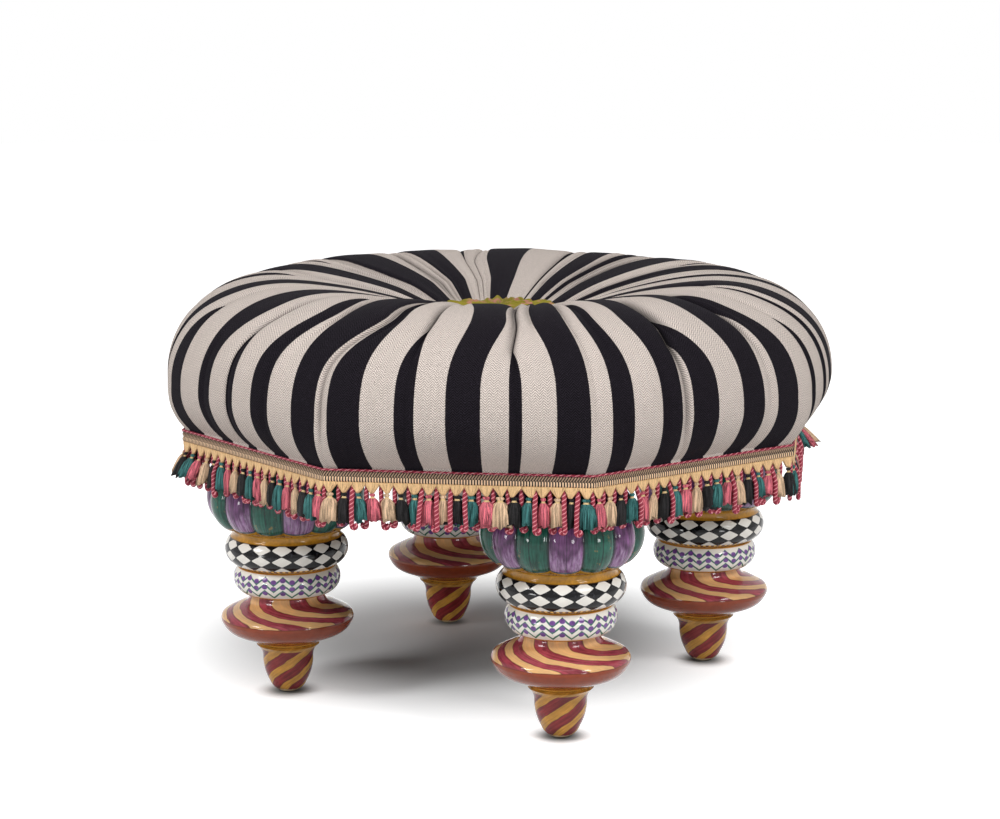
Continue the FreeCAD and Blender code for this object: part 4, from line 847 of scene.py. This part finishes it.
def material(name, group=None, **constants):
    """Decorates a function that draws a material's graph with the colours of a group of settings. The material
    is made once for each set of arguments."""
    def wrap(draw):
        made = {}

        def found(*args):
            if args not in made:
                made[args] = bpy.data.materials.new(name.format(*args))
                graph = Graph(made[args], "Principled BSDF", **constants)
                draw(graph, *([getattr(bpy.context.scene, group)] if group else []), *args)
            return made[args]
        return found
    return wrap


def darker(colour, share):
    """A colour scaled towards black, or up where share is above one."""
    return tuple(min(1.0, c * share) for c in colour)


# Cloth and thread.

@material("striped_twill", "ottoman_seat", Roughness=0.85, Specular_IOR_Level=0.05)
def striped_twill(graph, seat):
    """Black and natural stripes in a herringbone twill, with fibres, slubs, lint flecks that double as painted
    glints on the black, and painted shade in the folds.
    """
    herringbone, wale_pitch, yarn_pitch = 0.0086, 0.0027, 0.0011
    number, _ = graph.uv()
    across, along = graph.uv("Weave")
    fray = graph.noise(900.0, 2.0) - 0.5
    black = ((number * math.pi).sine() * 14 + fray * 1.5).step(-0.5, 0.5)
    zigzag = abs((across / herringbone) % 1.0 - 0.5) * 2
    weave = ((along / wale_pitch + zigzag * 1.6 + fray * 0.4) * 2 * math.pi).sine() * 0.5 + 0.5
    yarn = (across / yarn_pitch).wave()
    slub, fibre, lint_and_glint = graph.noise(70.0, 4.0), graph.noise(1400.0, 2.0), graph.noise(760.0, 2.0)
    grain = (weave * 0.45 + fibre * 0.2 + lint_and_glint * 0.35).step(0.24, 0.70)
    natural = graph.tones(seat.natural, 0.44, 1.12, grain)
    natural = graph.mix(natural, darker(seat.natural, 0.80), slub.step(0.42, 0.75) * 0.5)
    dark = graph.tones(seat.black, 0.3, 1.7, grain)
    # Lint flecks on the black yarn, lifted to four times its colour, which also stand for painted glints of light
    # on it.
    dark = graph.mix(dark, darker(seat.black, 4.0), lint_and_glint.step(0.60, 0.78) * 0.8)
    fold = graph.node("ShaderNodeAttribute", {"attribute_name": "Fold"}, None, "Fac")
    colour = graph.mix(graph.mix(natural, dark, black), darker(seat.black, 0.6), fold.step(0.28, 0.95) * 0.75)
    graph.finish(colour, weave * 0.7 + yarn * 0.15 + fibre * 0.4, 0.0006, 0.7, 0.74 + black * 0.08 + fibre * 0.1)


@material("olive_cloth", "ottoman_seat", Roughness=0.85, Specular_IOR_Level=0.2)
def olive_cloth(graph, seat):
    """Olive cloth with rose mottling, gathered in fine folds."""
    gather, _ = graph.uv()
    fibre = graph.noise(900.0, 2.0)
    base = graph.tones(seat.olive, 0.6, 1.35, graph.noise(160.0, 3.0))
    base = graph.mix(base, srgb(188, 120, 116), graph.noise(55.0, 3.0).step(0.50, 0.62) * 0.75)
    graph.finish(graph.mix(base, darker(seat.olive, 0.35), fibre.step(0.4, 0.9) * 0.4),
                 (gather * 2 * math.pi * 2).sine() * 0.3 + fibre * 0.5, 0.0006, 0.5)


@material("woven_braid", "ottoman_trim", Roughness=0.7, Specular_IOR_Level=0.3)
def braid_weave(graph, trim):
    """Ribs of the band: a grey and dark upper row and a black and cream lower row."""
    rib, rise = graph.uv()
    fibre = graph.noise(1600.0, 2.0)
    upper = (rise - 0.5).step(-0.02, 0.02)
    shift = rib - (rise - 0.75) * 1.1 * upper
    dark = shift.wave().step(-0.2, 0.35)
    lower_row = graph.mix(darker(trim.cream, 0.84), darker(trim.black, 0.7), dark)
    upper_row = graph.mix(srgb(166, 138, 112), srgb(26, 20, 20), dark.step(0.0, 0.6))
    ground = graph.mix(lower_row, upper_row, upper)
    ground = graph.mix(ground, srgb(52, 44, 42), (rise - 0.5).line(0.0, 0.05) * 0.8)
    graph.finish(graph.mix(ground, darker(trim.cream, 0.4), fibre.step(0.55, 0.9) * 0.35),
                 fibre * 0.6 + shift.wave(4) * 0.2, 0.0003, 0.6)


@material("rose_cord_{}", "ottoman_trim", Roughness=0.55, Specular_IOR_Level=0.35)
def twisted_cord(graph, trim, name, twists):
    """Two plies wound together: rose, and rose with a white thread, with painted shade between them. twists counts
    turns for each unit of the map along the cord."""
    around, along = graph.uv()
    ply = (around - along * twists).wave(2)
    fibre = graph.noise(1500.0, 2.0)
    rose = graph.tones(trim.cord, 0.7, 1.3, fibre)
    pale = graph.mix(srgb(236, 186, 182), srgb(206, 104, 128), fibre)
    colour = graph.mix(rose, pale, ply.step(0.62, 0.92))
    # Painted shade: darker rose between the plies.
    graph.finish(graph.mix(colour, darker(trim.cord, 0.22), (ply + 0.55).line(0.10, 0.60) * 0.85),
                 abs(ply) * 0.8 + fibre * 0.2, 0.0006, 0.7)


@material("cream_heading", Roughness=0.55, Specular_IOR_Level=0.35)
def bound_thread(graph):
    """Cream rayon threads side by side, bunched towards the tip of each tab, with painted shade between the
    threads, and darker down each tab's sides towards the tip.
    """
    across, down = graph.uv()
    x, y, _ = graph.split(graph.place())
    strand = graph.noise(5.0, 3.0, graph.join(across * 2.6, down * 0.12, (x + y) * 40), 0.7)
    fibre = graph.noise(1200.0, 2.0)
    # Painted shade: dark brown between the threads, cream where they stand out.
    shade = graph.mix(srgb(112, 72, 38), srgb(234, 194, 142), (strand * 0.8 + fibre * 0.2).step(0.30, 0.56))
    edge = abs(across).step(0.80, 1.0) * down.step(0.2, 0.6) * 0.5
    graph.finish(graph.mix(shade, srgb(120, 66, 44), edge), strand * 0.8 + fibre * 0.3, 0.0006, 0.8)


@material("{}_thread", "ottoman_trim", Roughness=0.6, Specular_IOR_Level=0.12)
def tassel_thread(graph, trim, colour):
    """Loose thread of a tassel, its strands streaked from a painted shade to a painted highlight, with a cream
    binding round its neck.
    """
    base = getattr(trim, colour)
    around, down = graph.uv()
    streak = graph.noise(6.0, 4.0, graph.join(around * 5, down * 0.35, graph.split(graph.place())[0] * 60), 0.7)
    fibre = graph.noise(1300.0, 2.0)
    # Painted light on the strands: a shaded copy of the thread colour, scaled down, against a lifted highlight
    # copy.
    lift = min(1.35, 0.95 / max(base))
    painted_highlight = [c * lift + 0.02 for c in base]
    thread = graph.mix(darker(base, 0.10 + 0.28 * base[1]), painted_highlight, (streak * 0.85 + fibre * 0.15).step(0.35, 0.64))
    binding = graph.mix(srgb(206, 168, 108), srgb(246, 222, 172), (down * 190).sine() * 0.5 + 0.5)
    bound = down.step(0.335, 0.345) * down.below(0.47, 0.5)
    graph.finish(graph.mix(thread, binding, bound), streak * 0.8 + fibre * 0.3, 0.0014)


@material("foam", Roughness=0.95)
def foam(graph):
    """Open-cell foam."""
    cell = graph.cells(700.0)
    graph.finish(graph.mix(srgb(226, 206, 140), srgb(246, 234, 190), cell.step(0.1, 0.6)), cell, 0.0006, 0.7)


@material("cotton_wadding", Roughness=0.95, Specular_IOR_Level=0.2)
def cotton_wadding(graph):
    """Felted cotton with tangled fibres."""
    tangle = graph.noise(220.0, 6.0)
    graph.finish(graph.mix(srgb(220, 214, 204), srgb(248, 246, 240), tangle.step(0.3, 0.7)), tangle, 0.001, 0.8)


@material("dust_cloth", Roughness=0.9)
def dust_cloth(graph):
    """Thin black cambric."""
    x, y = (way * 2 * math.pi / 0.0012 for way in graph.split(graph.place())[:2])
    weave = x.sine() * y.sine()
    graph.finish(graph.mix(srgb(18, 18, 19), srgb(46, 45, 46), weave * 0.5 + 0.5), weave, 0.0003, 0.6)


@material("cork", Roughness=0.9)
def cork(graph):
    """Cork granules."""
    grain = graph.cells(500.0)
    graph.finish(graph.mix(srgb(120, 84, 52), srgb(196, 154, 104), grain.step(0.05, 0.6)), grain, 0.0005, 0.6)


@material("twine", Roughness=0.6)
def twine(graph):
    """Waxed twine."""
    lay = (graph.split(graph.place())[2] * 2 * math.pi / 0.0022).sine() * 0.5 + 0.5
    graph.finish(graph.mix(srgb(180, 152, 104), srgb(226, 206, 160), lay), lay, 0.0005, 0.8)


@material("zinc_steel", Metallic=1.0, Roughness=0.35)
def zinc_steel(graph):
    """Zinc-plated steel with spangle and scuffs."""
    grey = graph.node("ShaderNodeSeparateColor", None, {0: graph.cells(160.0, "Color")})
    rough = 0.28 + graph.noise(300.0, 4.0) * 0.25
    graph.finish(graph.mix(srgb(150, 152, 156), srgb(198, 200, 204), grey), graph.noise(700.0, 3.0), 0.0002, 0.4,
                 rough)


@material("{}", Roughness=0.6)
def timber(graph, name, pale, dark, scale, lay):
    """Wood with grain drawn out along one direction."""
    stretched = graph.node("ShaderNodeMapping", None, {"Vector": graph.place(), "Scale": lay})
    grain = graph.noise(scale, 6.0, stretched, 0.6)
    rings = graph.node("ShaderNodeTexWave", None, {"Vector": stretched, "Scale": scale * 0.6, "Distortion": 7.0,
                                                   "Detail": 3.0}, "Fac")
    graph.finish(graph.mix(pale, dark, (grain * 0.5 + rings * 0.5).step(0.2, 0.8)), grain, 0.0004, 0.5,
                 0.5 + grain * 0.2)


# Glazes. The legs stand at (+-LEG_OFFSET, +-LEG_OFFSET), so one material serves all four.

GLOSS = {"Roughness": 0.09, "Specular_IOR_Level": 0.26}
OUTLINE = srgb(72, 34, 32)
COLLAR = srgb(192, 138, 44)


def leg_space(graph):
    """Angle round the nearest leg's axis in turns, distance from the axis and height."""
    x, y, z = graph.split(graph.place())
    dx, dy = x - x.sign() * LEG_OFFSET, y - y.sign() * LEG_OFFSET
    return dy.angle(dx) / (2 * math.pi), (dx * dx + dy * dy).root(), z


@material("spiral_glaze", "ottoman_glaze", **GLOSS)
def spiral_glaze(graph, glaze):
    """Pointed foot: five burgundy stripes that climb round an ochre ground, worn at the tip."""
    turn, _, z = leg_space(graph)
    wobble = graph.wobble(40.0, 0.3)
    phase = turn * 5 - z / 0.0255
    wave = (phase + wobble).wave()
    strokes = graph.join(phase * 2.5, z * 16)
    ochre = graph.brushed(darker(glaze.ochre, 0.82), strokes, 0.6, 1.3)
    burgundy = graph.brushed(srgb(126, 38, 40), strokes, 0.5, 1.5)
    striped = z.below(0.0535, 0.0545)
    colour = graph.mix(ochre, burgundy, wave.step(-0.25, -0.05) * striped)
    colour = graph.mix(colour, OUTLINE, (wave + 0.15).line(0.05, 0.22) * striped * 0.7)
    worn = (graph.noise(300.0, 3.0) * 0.004 + z * -1).step(-0.0045, -0.001)
    graph.finish_glaze(graph.mix(colour, srgb(214, 196, 160), worn * 0.8))


@material("saucer_glaze", "ottoman_glaze", **GLOSS)
def saucer_glaze(graph, glaze):
    """Saucer: burgundy swirls over ochre above, a dark line at the rim, bare terracotta below and an ochre
    foot. The swirl's phase is 7 x turn - 0.85 x sweep - 0.95 x sweep^2."""
    turn, out, z = leg_space(graph)
    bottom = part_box("saucer_1")[0].z
    sweep = (out - 0.045) / 0.033
    phase = turn * 7 - sweep * 0.85 - sweep * sweep * 0.95
    wave = (phase + graph.wobble(36.0, 0.3)).wave()
    strokes = graph.join(phase * 2.5, sweep * 0.8)
    ochre = graph.mix(graph.brushed(glaze.ochre, strokes), srgb(226, 190, 156), 0.45)
    top = graph.mix(ochre, graph.brushed(glaze.burgundy, strokes, 0.5, 1.7), wave.step(-0.1, 0.1))
    top = graph.mix(top, OUTLINE, wave.line(0.05, 0.2) * 0.65)
    clay = graph.tones(glaze.terracotta, 0.50, 0.85, graph.noise(90.0, 5.0))
    edge = z + graph.wobble(50.0, 0.0015) - (bottom + 0.031)
    colour = graph.mix(clay, top, edge.step(0.0004, 0.0011))
    colour = graph.mix(colour, srgb(92, 44, 34), (edge - 0.0004).line(0.0002, 0.0009) * 0.6)
    foot = z.below(bottom + 0.0036, bottom + 0.0042)
    graph.finish_glaze(graph.mix(colour, graph.brushed(darker(glaze.ochre, 0.85), None, 0.85, 1.1), foot))


@material("zigzag_glaze", "ottoman_glaze", **GLOSS)
def zigzag_glaze(graph, glaze):
    """Lower ring: green zigzags over white with violet dots, and gold lines at both edges."""
    turn, _, z = leg_space(graph)
    low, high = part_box("lattice_ring_1")
    level = (z - low.z) / (high.z - low.z)
    wobble = graph.wobble(90.0, 0.12)
    count = 18
    slope = abs((turn * count + wobble) % 1.0 - 0.5) * 2
    lines = (level - 0.17 - slope * 0.26).line(0.025, 0.05)
    for height in (0.40, 0.63):
        lines = lines.most((level - height - slope * 0.26 + wobble * 0.3).line(0.025, 0.05))
    white = graph.tones(glaze.white, 0.86, 1, graph.noise(60.0, 3.0))
    violet = graph.brushed(srgb(112, 72, 140))
    colour = graph.mix(white, graph.brushed(srgb(62, 112, 94)), lines)
    for shift, height in ((0.5, 0.33), (0.0, 0.51), (0.5, 0.56), (0.0, 0.74), (0.5, 0.80)):
        near = ((turn * count + shift) % 1.0 - 0.5) * 0.8
        tall = (level - height) * 1.6
        colour = graph.mix(colour, violet, (near * near + tall * tall + wobble * 0.03).below(0.010, 0.022))
    edge = level.below(0.10, 0.115).most(level.step(0.955, 0.97))
    graph.finish_glaze(graph.mix(colour, graph.brushed(srgb(196, 138, 60), None, 0.85, 1.15), edge))


@material("harlequin_glaze", "ottoman_glaze", **GLOSS)
def harlequin_glaze(graph, glaze):
    """Upper ring: black lozenges on white with a gold beaded foot, each bead painted light on its crest and
    painted shade between, and an ochre collar.
    """
    turn, _, z = leg_space(graph)
    low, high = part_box("check_ring_1")
    collar = high.z - 0.0095
    level = (z - low.z) / (collar - low.z)
    wobble = graph.wobble(60.0, 0.10)
    across = turn * 18 + wobble
    up = level * 2.6 + wobble * 0.6 + 0.28
    black = (((across + up) * math.pi).sine() * ((across - up) * math.pi).sine()).step(-0.045, -0.005)
    white = graph.tones(glaze.white, 0.88, 1, graph.noise(60.0, 3.0))
    ink = graph.mix(darker(glaze.ink, 0.5), srgb(66, 68, 76), graph.noise(240.0, 5.0).step(0.55, 0.8) * 0.7)
    colour = graph.mix(white, ink, black)
    ochre = graph.brushed(COLLAR, None, 0.6, 1.05)
    colour = graph.mix(colour, ochre, z.step(collar - 0.0008, collar - 0.0002))
    colour = graph.mix(colour, srgb(60, 44, 30), (z - collar + 0.0006).line(0.0002, 0.0007) * 0.7)
    bead = (turn * 60).wave().step(-0.3, 0.5)
    gilt = z.below(low.z + 0.0034, low.z + 0.0040)
    # Painted light and shade on the beads: bright gold on each bead, dark gold between them.
    gold = graph.mix(srgb(110, 62, 30), srgb(236, 186, 96), bead)
    graph.finish_glaze(graph.mix(colour, gold, gilt), gilt * bead * 0.5)


@material("lobe_glaze", "ottoman_glaze", **GLOSS)
def lobe_glaze(graph, glaze):
    """Bulb: violet and green lobes by turns, streaked by the brush from top to bottom, with dark lines in the
    valleys and down each lobe, a dark scalloped hem and an ochre neck."""
    lobe, level = graph.uv()
    strokes = graph.join(lobe * 5.0, level * 0.9)
    violet = graph.brushed(glaze.violet, strokes, 0.22, 1.9)
    green = graph.brushed(glaze.green, strokes, 0.22, 1.8)
    tan = graph.noise(4.0, 3.0, graph.join(lobe * 1.2, level * 2.2)).step(0.60, 0.72)
    green = graph.mix(green, srgb(150, 122, 66), tan * 0.6)
    across = lobe % 1.0
    vee = level - abs(across - 0.5) * 0.45 + graph.noise(2.5, 3.0, strokes) * 0.22
    streak = graph.noise(3.0, 4.0, graph.join(lobe * 5.0, level * 1.6, 3.0), 0.7).step(0.35, 0.7)
    violet = graph.mix(violet, srgb(178, 152, 184), vee.below(0.24, 0.36) * streak * 0.8)
    violet = graph.mix(violet, srgb(58, 36, 62), (vee - 0.38).line(0.01, 0.07) * 0.45)
    colour = graph.mix(violet, green, ((lobe * math.pi).sine() * 9).step(-0.5, 0.5))
    valley = across.least(1 - across).below(0.015, 0.05)
    midline = (across - 0.5).line(0.008, 0.022) * 0.55
    colour = graph.mix(colour, srgb(24, 26, 34), (valley * 0.85).most(midline))
    colour = graph.mix(colour, srgb(30, 62, 58), (level - 0.045).line(0.010, 0.020) * 0.8)
    plain = level.below(0.028, 0.036).most(level.step(1.01, 1.03))
    graph.finish_glaze(graph.mix(colour, graph.brushed(COLLAR, None, 0.45, 0.95), plain))


def dress(look, *nodes):
    """Gives CAD nodes a material. Their loose triangles are welded and shaded smooth up to sharp edges."""
    for node in nodes:
        made = NODES[node]
        made.data.materials.clear()
        made.data.materials.append(look)
        made.data.polygons.foreach_set("use_smooth", np.ones(len(made.data.polygons), dtype=bool))
        made.modifiers.new("Weld", "WELD").merge_threshold = CAD_WELD
        made.modifiers.new("Sharp edges", "EDGE_SPLIT").split_angle = SHARP_EDGE


# Stage.

def shown(graph, level):
    """One for camera, glossy and transmission rays, and level for the others."""
    rays = graph.node("ShaderNodeLightPath").socket.node.outputs
    for kind in ("Camera", "Glossy", "Transmission"):
        level = Wire(graph, rays[f"Is {kind} Ray"]).most(level)
    return level


def floor_and_sky(scene):
    """Pale round floor that glows white away from the seat and its feet, and a white sky. The glow fades in round
    a point behind the seat, which paints the shape of the shadow under it, and the floor is darker round each
    foot, a painted contact shadow. Only camera, glossy and transmission rays see the glow, so that it lights
    nothing, and the floor keeps the object's shadow."""
    owner = bpy.data.materials.new("floor")
    graph = Graph(owner, "Principled BSDF", Roughness=0.95, Emission_Strength=1.0)
    x, y, _ = graph.split(graph.place())
    # The glow fades in round a point behind the seat, so the grey patch left there is a painted shadow under the
    # seat.
    away = (((x + 0.130) ** 2.0 + (y - 0.122) ** 2.0) ** 0.5).step(0.13, 0.46)
    near = ((abs(x) - LEG_OFFSET) ** 2.0 + (abs(y) - LEG_OFFSET) ** 2.0) ** 0.5
    # The glow is held off near each foot as well, for the painted contact shadow.
    away = away * near.step(0.012, 0.045)
    ground = graph.mix([0.58] * 3, [0.62] * 3, graph.noise(3.0))
    # Painted contact shadow: the floor's own colour is darker round each foot.
    graph.feed(graph.shader.inputs["Base Color"], graph.mix(ground, [0.20] * 3, near.below(0.010, 0.032)))
    glow = graph.mix((0, 0, 0), (1, 1, 1), away * 0.95 * shown(graph, 0.0))
    graph.feed(graph.shader.inputs["Emission Color"], glow)
    reach = np.array([0.0, 0.4, 1.0, 2.0, 4.0, 9.0])[:, None]
    mesh = grid_mesh("floor", ring(reach, circle(64)[None, :], 0.0))
    mesh.materials.append(owner)
    floor = put(mesh)
    scene.world = bpy.data.worlds.new("sky")
    sky = Graph(scene.world, "Background", Color=(1, 1, 1, 1))
    sky.feed(sky.shader.inputs["Strength"], shown(sky, SKY_LEVEL))


def aimed(data, spot, way):
    """Puts a lamp or a camera at spot, turned to look along way."""
    made = put(data)
    made.location, made.rotation_euler = spot, way.to_track_quat("-Z", "Y").to_euler()
    return made


def stage(settings):
    """Floor and sky, two soft lamps in front, one above, a weak one behind, two small low ones, and the camera."""
    scene = bpy.context.scene
    scene.view_settings.view_transform = "Standard"
    floor_and_sky(scene)
    for name, spot, size, power in LAMPS:
        lamp = bpy.data.lights.new(name, "AREA")
        lamp.shape, lamp.size, lamp.size_y, lamp.energy = "RECTANGLE", size[0], size[1], power
        aimed(lamp, spot, Vector((0, 0, 0.3)) - Vector(spot))
    camera = bpy.data.cameras.new("camera")
    camera.lens, camera.sensor_width = settings.lens, 36.0
    scene.camera = aimed(camera, settings.eye, Vector(settings.gaze))


# Operators, one for each piece or group of like pieces.

class OTTOMAN_OT_cover(bpy.types.Operator):
    """Add the pleated striped cover"""

    bl_idname, bl_label = "ottoman.cover", "Striped cover"

    def execute(self, context):
        cover(context.scene.ottoman_seat)
        return {"FINISHED"}


class OTTOMAN_OT_stuffing(bpy.types.Operator):
    """Add the wadding, the foam cushion and the edge roll"""

    bl_idname, bl_label = "ottoman.stuffing", "Stuffing"

    def execute(self, context):
        for layer in (wadding, foam_bun, edge_roll):
            layer(context.scene.ottoman_seat)
        return {"FINISHED"}


class OTTOMAN_OT_rosette(bpy.types.Operator):
    """Add the gathered rosette in the tuft"""

    bl_idname, bl_label = "ottoman.rosette", "Rosette"

    def execute(self, context):
        rosette(context.scene.ottoman_seat)
        return {"FINISHED"}


class OTTOMAN_OT_braid(bpy.types.Operator):
    """Add the woven band and its twisted lip cord"""

    bl_idname, bl_label = "ottoman.braid", "Braid and lip cord"

    def execute(self, context):
        band(context.scene.ottoman_trim)
        twisted_ring()
        return {"FINISHED"}


class OTTOMAN_OT_fringe(bpy.types.Operator):
    """Add the heading, the tassels and the twisted cords"""

    bl_idname, bl_label = "ottoman.fringe", "Fringe"

    def execute(self, context):
        for part in (heading, tassels, twisted_cords):
            part(context.scene.ottoman_trim)
        return {"FINISHED"}


class OTTOMAN_OT_bulbs(bpy.types.Operator):
    """Add the four lobed bulbs"""

    bl_idname, bl_label = "ottoman.bulbs", "Lobed bulbs"

    def execute(self, context):
        for number in range(len(LEG_SPOTS)):
            bulb(number, context.scene.ottoman_glaze)
        return {"FINISHED"}


class OTTOMAN_OT_glazes(bpy.types.Operator):
    """Glaze the turned ceramic pieces"""

    bl_idname, bl_label = "ottoman.glazes", "Glazes"

    def execute(self, context):
        for number in range(1, len(LEG_SPOTS) + 1):
            dress(spiral_glaze(), f"foot_finial_{number}")
            dress(saucer_glaze(), f"saucer_{number}")
            dress(zigzag_glaze(), f"lattice_ring_{number}")
            dress(harlequin_glaze(), f"check_ring_{number}")
        return {"FINISHED"}


class OTTOMAN_OT_frame(bpy.types.Operator):
    """Finish the timber, metal and cloth of the frame"""

    bl_idname, bl_label = "ottoman.frame", "Frame"

    def execute(self, context):
        hardwood = timber("hardwood", srgb(206, 170, 122), srgb(160, 118, 76), 26.0, (1.0, 1.0, 6.0))
        plywood = timber("plywood", srgb(222, 190, 142), srgb(188, 148, 98), 18.0, (1.0, 5.0, 30.0))
        sawn = ("rail_", "corner_block_", "glue_blocks", "tuft_toggle")
        dress(hardwood, *(node for node in NODES if node.startswith(sawn)))
        dress(plywood, "seat_board", "rosette_former")
        dress(zinc_steel(), "leg_rods", "top_washers", "top_nuts", "leg_plates", "plate_screws", "frame_screws")
        dress(cork(), "leg_gaskets")
        dress(twine(), "tuft_twine")
        dust_cover()
        return {"FINISHED"}


class OTTOMAN_OT_stage(bpy.types.Operator):
    """Add the floor, the lamps and the camera"""

    bl_idname, bl_label = "ottoman.stage", "Stage"

    def execute(self, context):
        stage(context.scene.ottoman_stage)
        return {"FINISHED"}


OPERATORS = (
    OTTOMAN_OT_stage, OTTOMAN_OT_cover, OTTOMAN_OT_stuffing, OTTOMAN_OT_rosette, OTTOMAN_OT_braid,
    OTTOMAN_OT_fringe, OTTOMAN_OT_bulbs, OTTOMAN_OT_glazes, OTTOMAN_OT_frame,
)
GROUPS = {
    "ottoman_seat": SeatSettings,
    "ottoman_trim": TrimSettings,
    "ottoman_glaze": GlazeSettings,
    "ottoman_stage": StageSettings,
}


class OTTOMAN_PT_panel(bpy.types.Panel):
    """Sizes, colours and pieces of the ottoman"""

    bl_idname, bl_label = "OTTOMAN_PT_panel", "Ottoman"
    bl_space_type, bl_region_type, bl_category = "VIEW_3D", "UI", "Ottoman"

    def draw(self, context):
        for name, group in GROUPS.items():
            box = self.layout.box()
            for size in group.__annotations__:
                box.prop(getattr(context.scene, name), size)
        for operator in OPERATORS:
            self.layout.operator(operator.bl_idname)


def register():
    for name, group in GROUPS.items():
        bpy.utils.register_class(group)
        setattr(bpy.types.Scene, name, PointerProperty(type=group))
    for kind in (*OPERATORS, OTTOMAN_PT_panel):
        bpy.utils.register_class(kind)


def unregister():
    for kind in (OTTOMAN_PT_panel, *reversed(OPERATORS)):
        bpy.utils.unregister_class(kind)
    for name, group in GROUPS.items():
        delattr(bpy.types.Scene, name)
        bpy.utils.unregister_class(group)


def main():
    """Builds the dressed ottoman."""
    register()
    bpy.ops.ottoman.stage()
    bpy.ops.ottoman.cover()
    bpy.ops.ottoman.stuffing()
    bpy.ops.ottoman.rosette()
    bpy.ops.ottoman.braid()
    bpy.ops.ottoman.fringe()
    bpy.ops.ottoman.bulbs()
    bpy.ops.ottoman.glazes()
    bpy.ops.ottoman.frame()


if __name__ == "__main__":
    main()
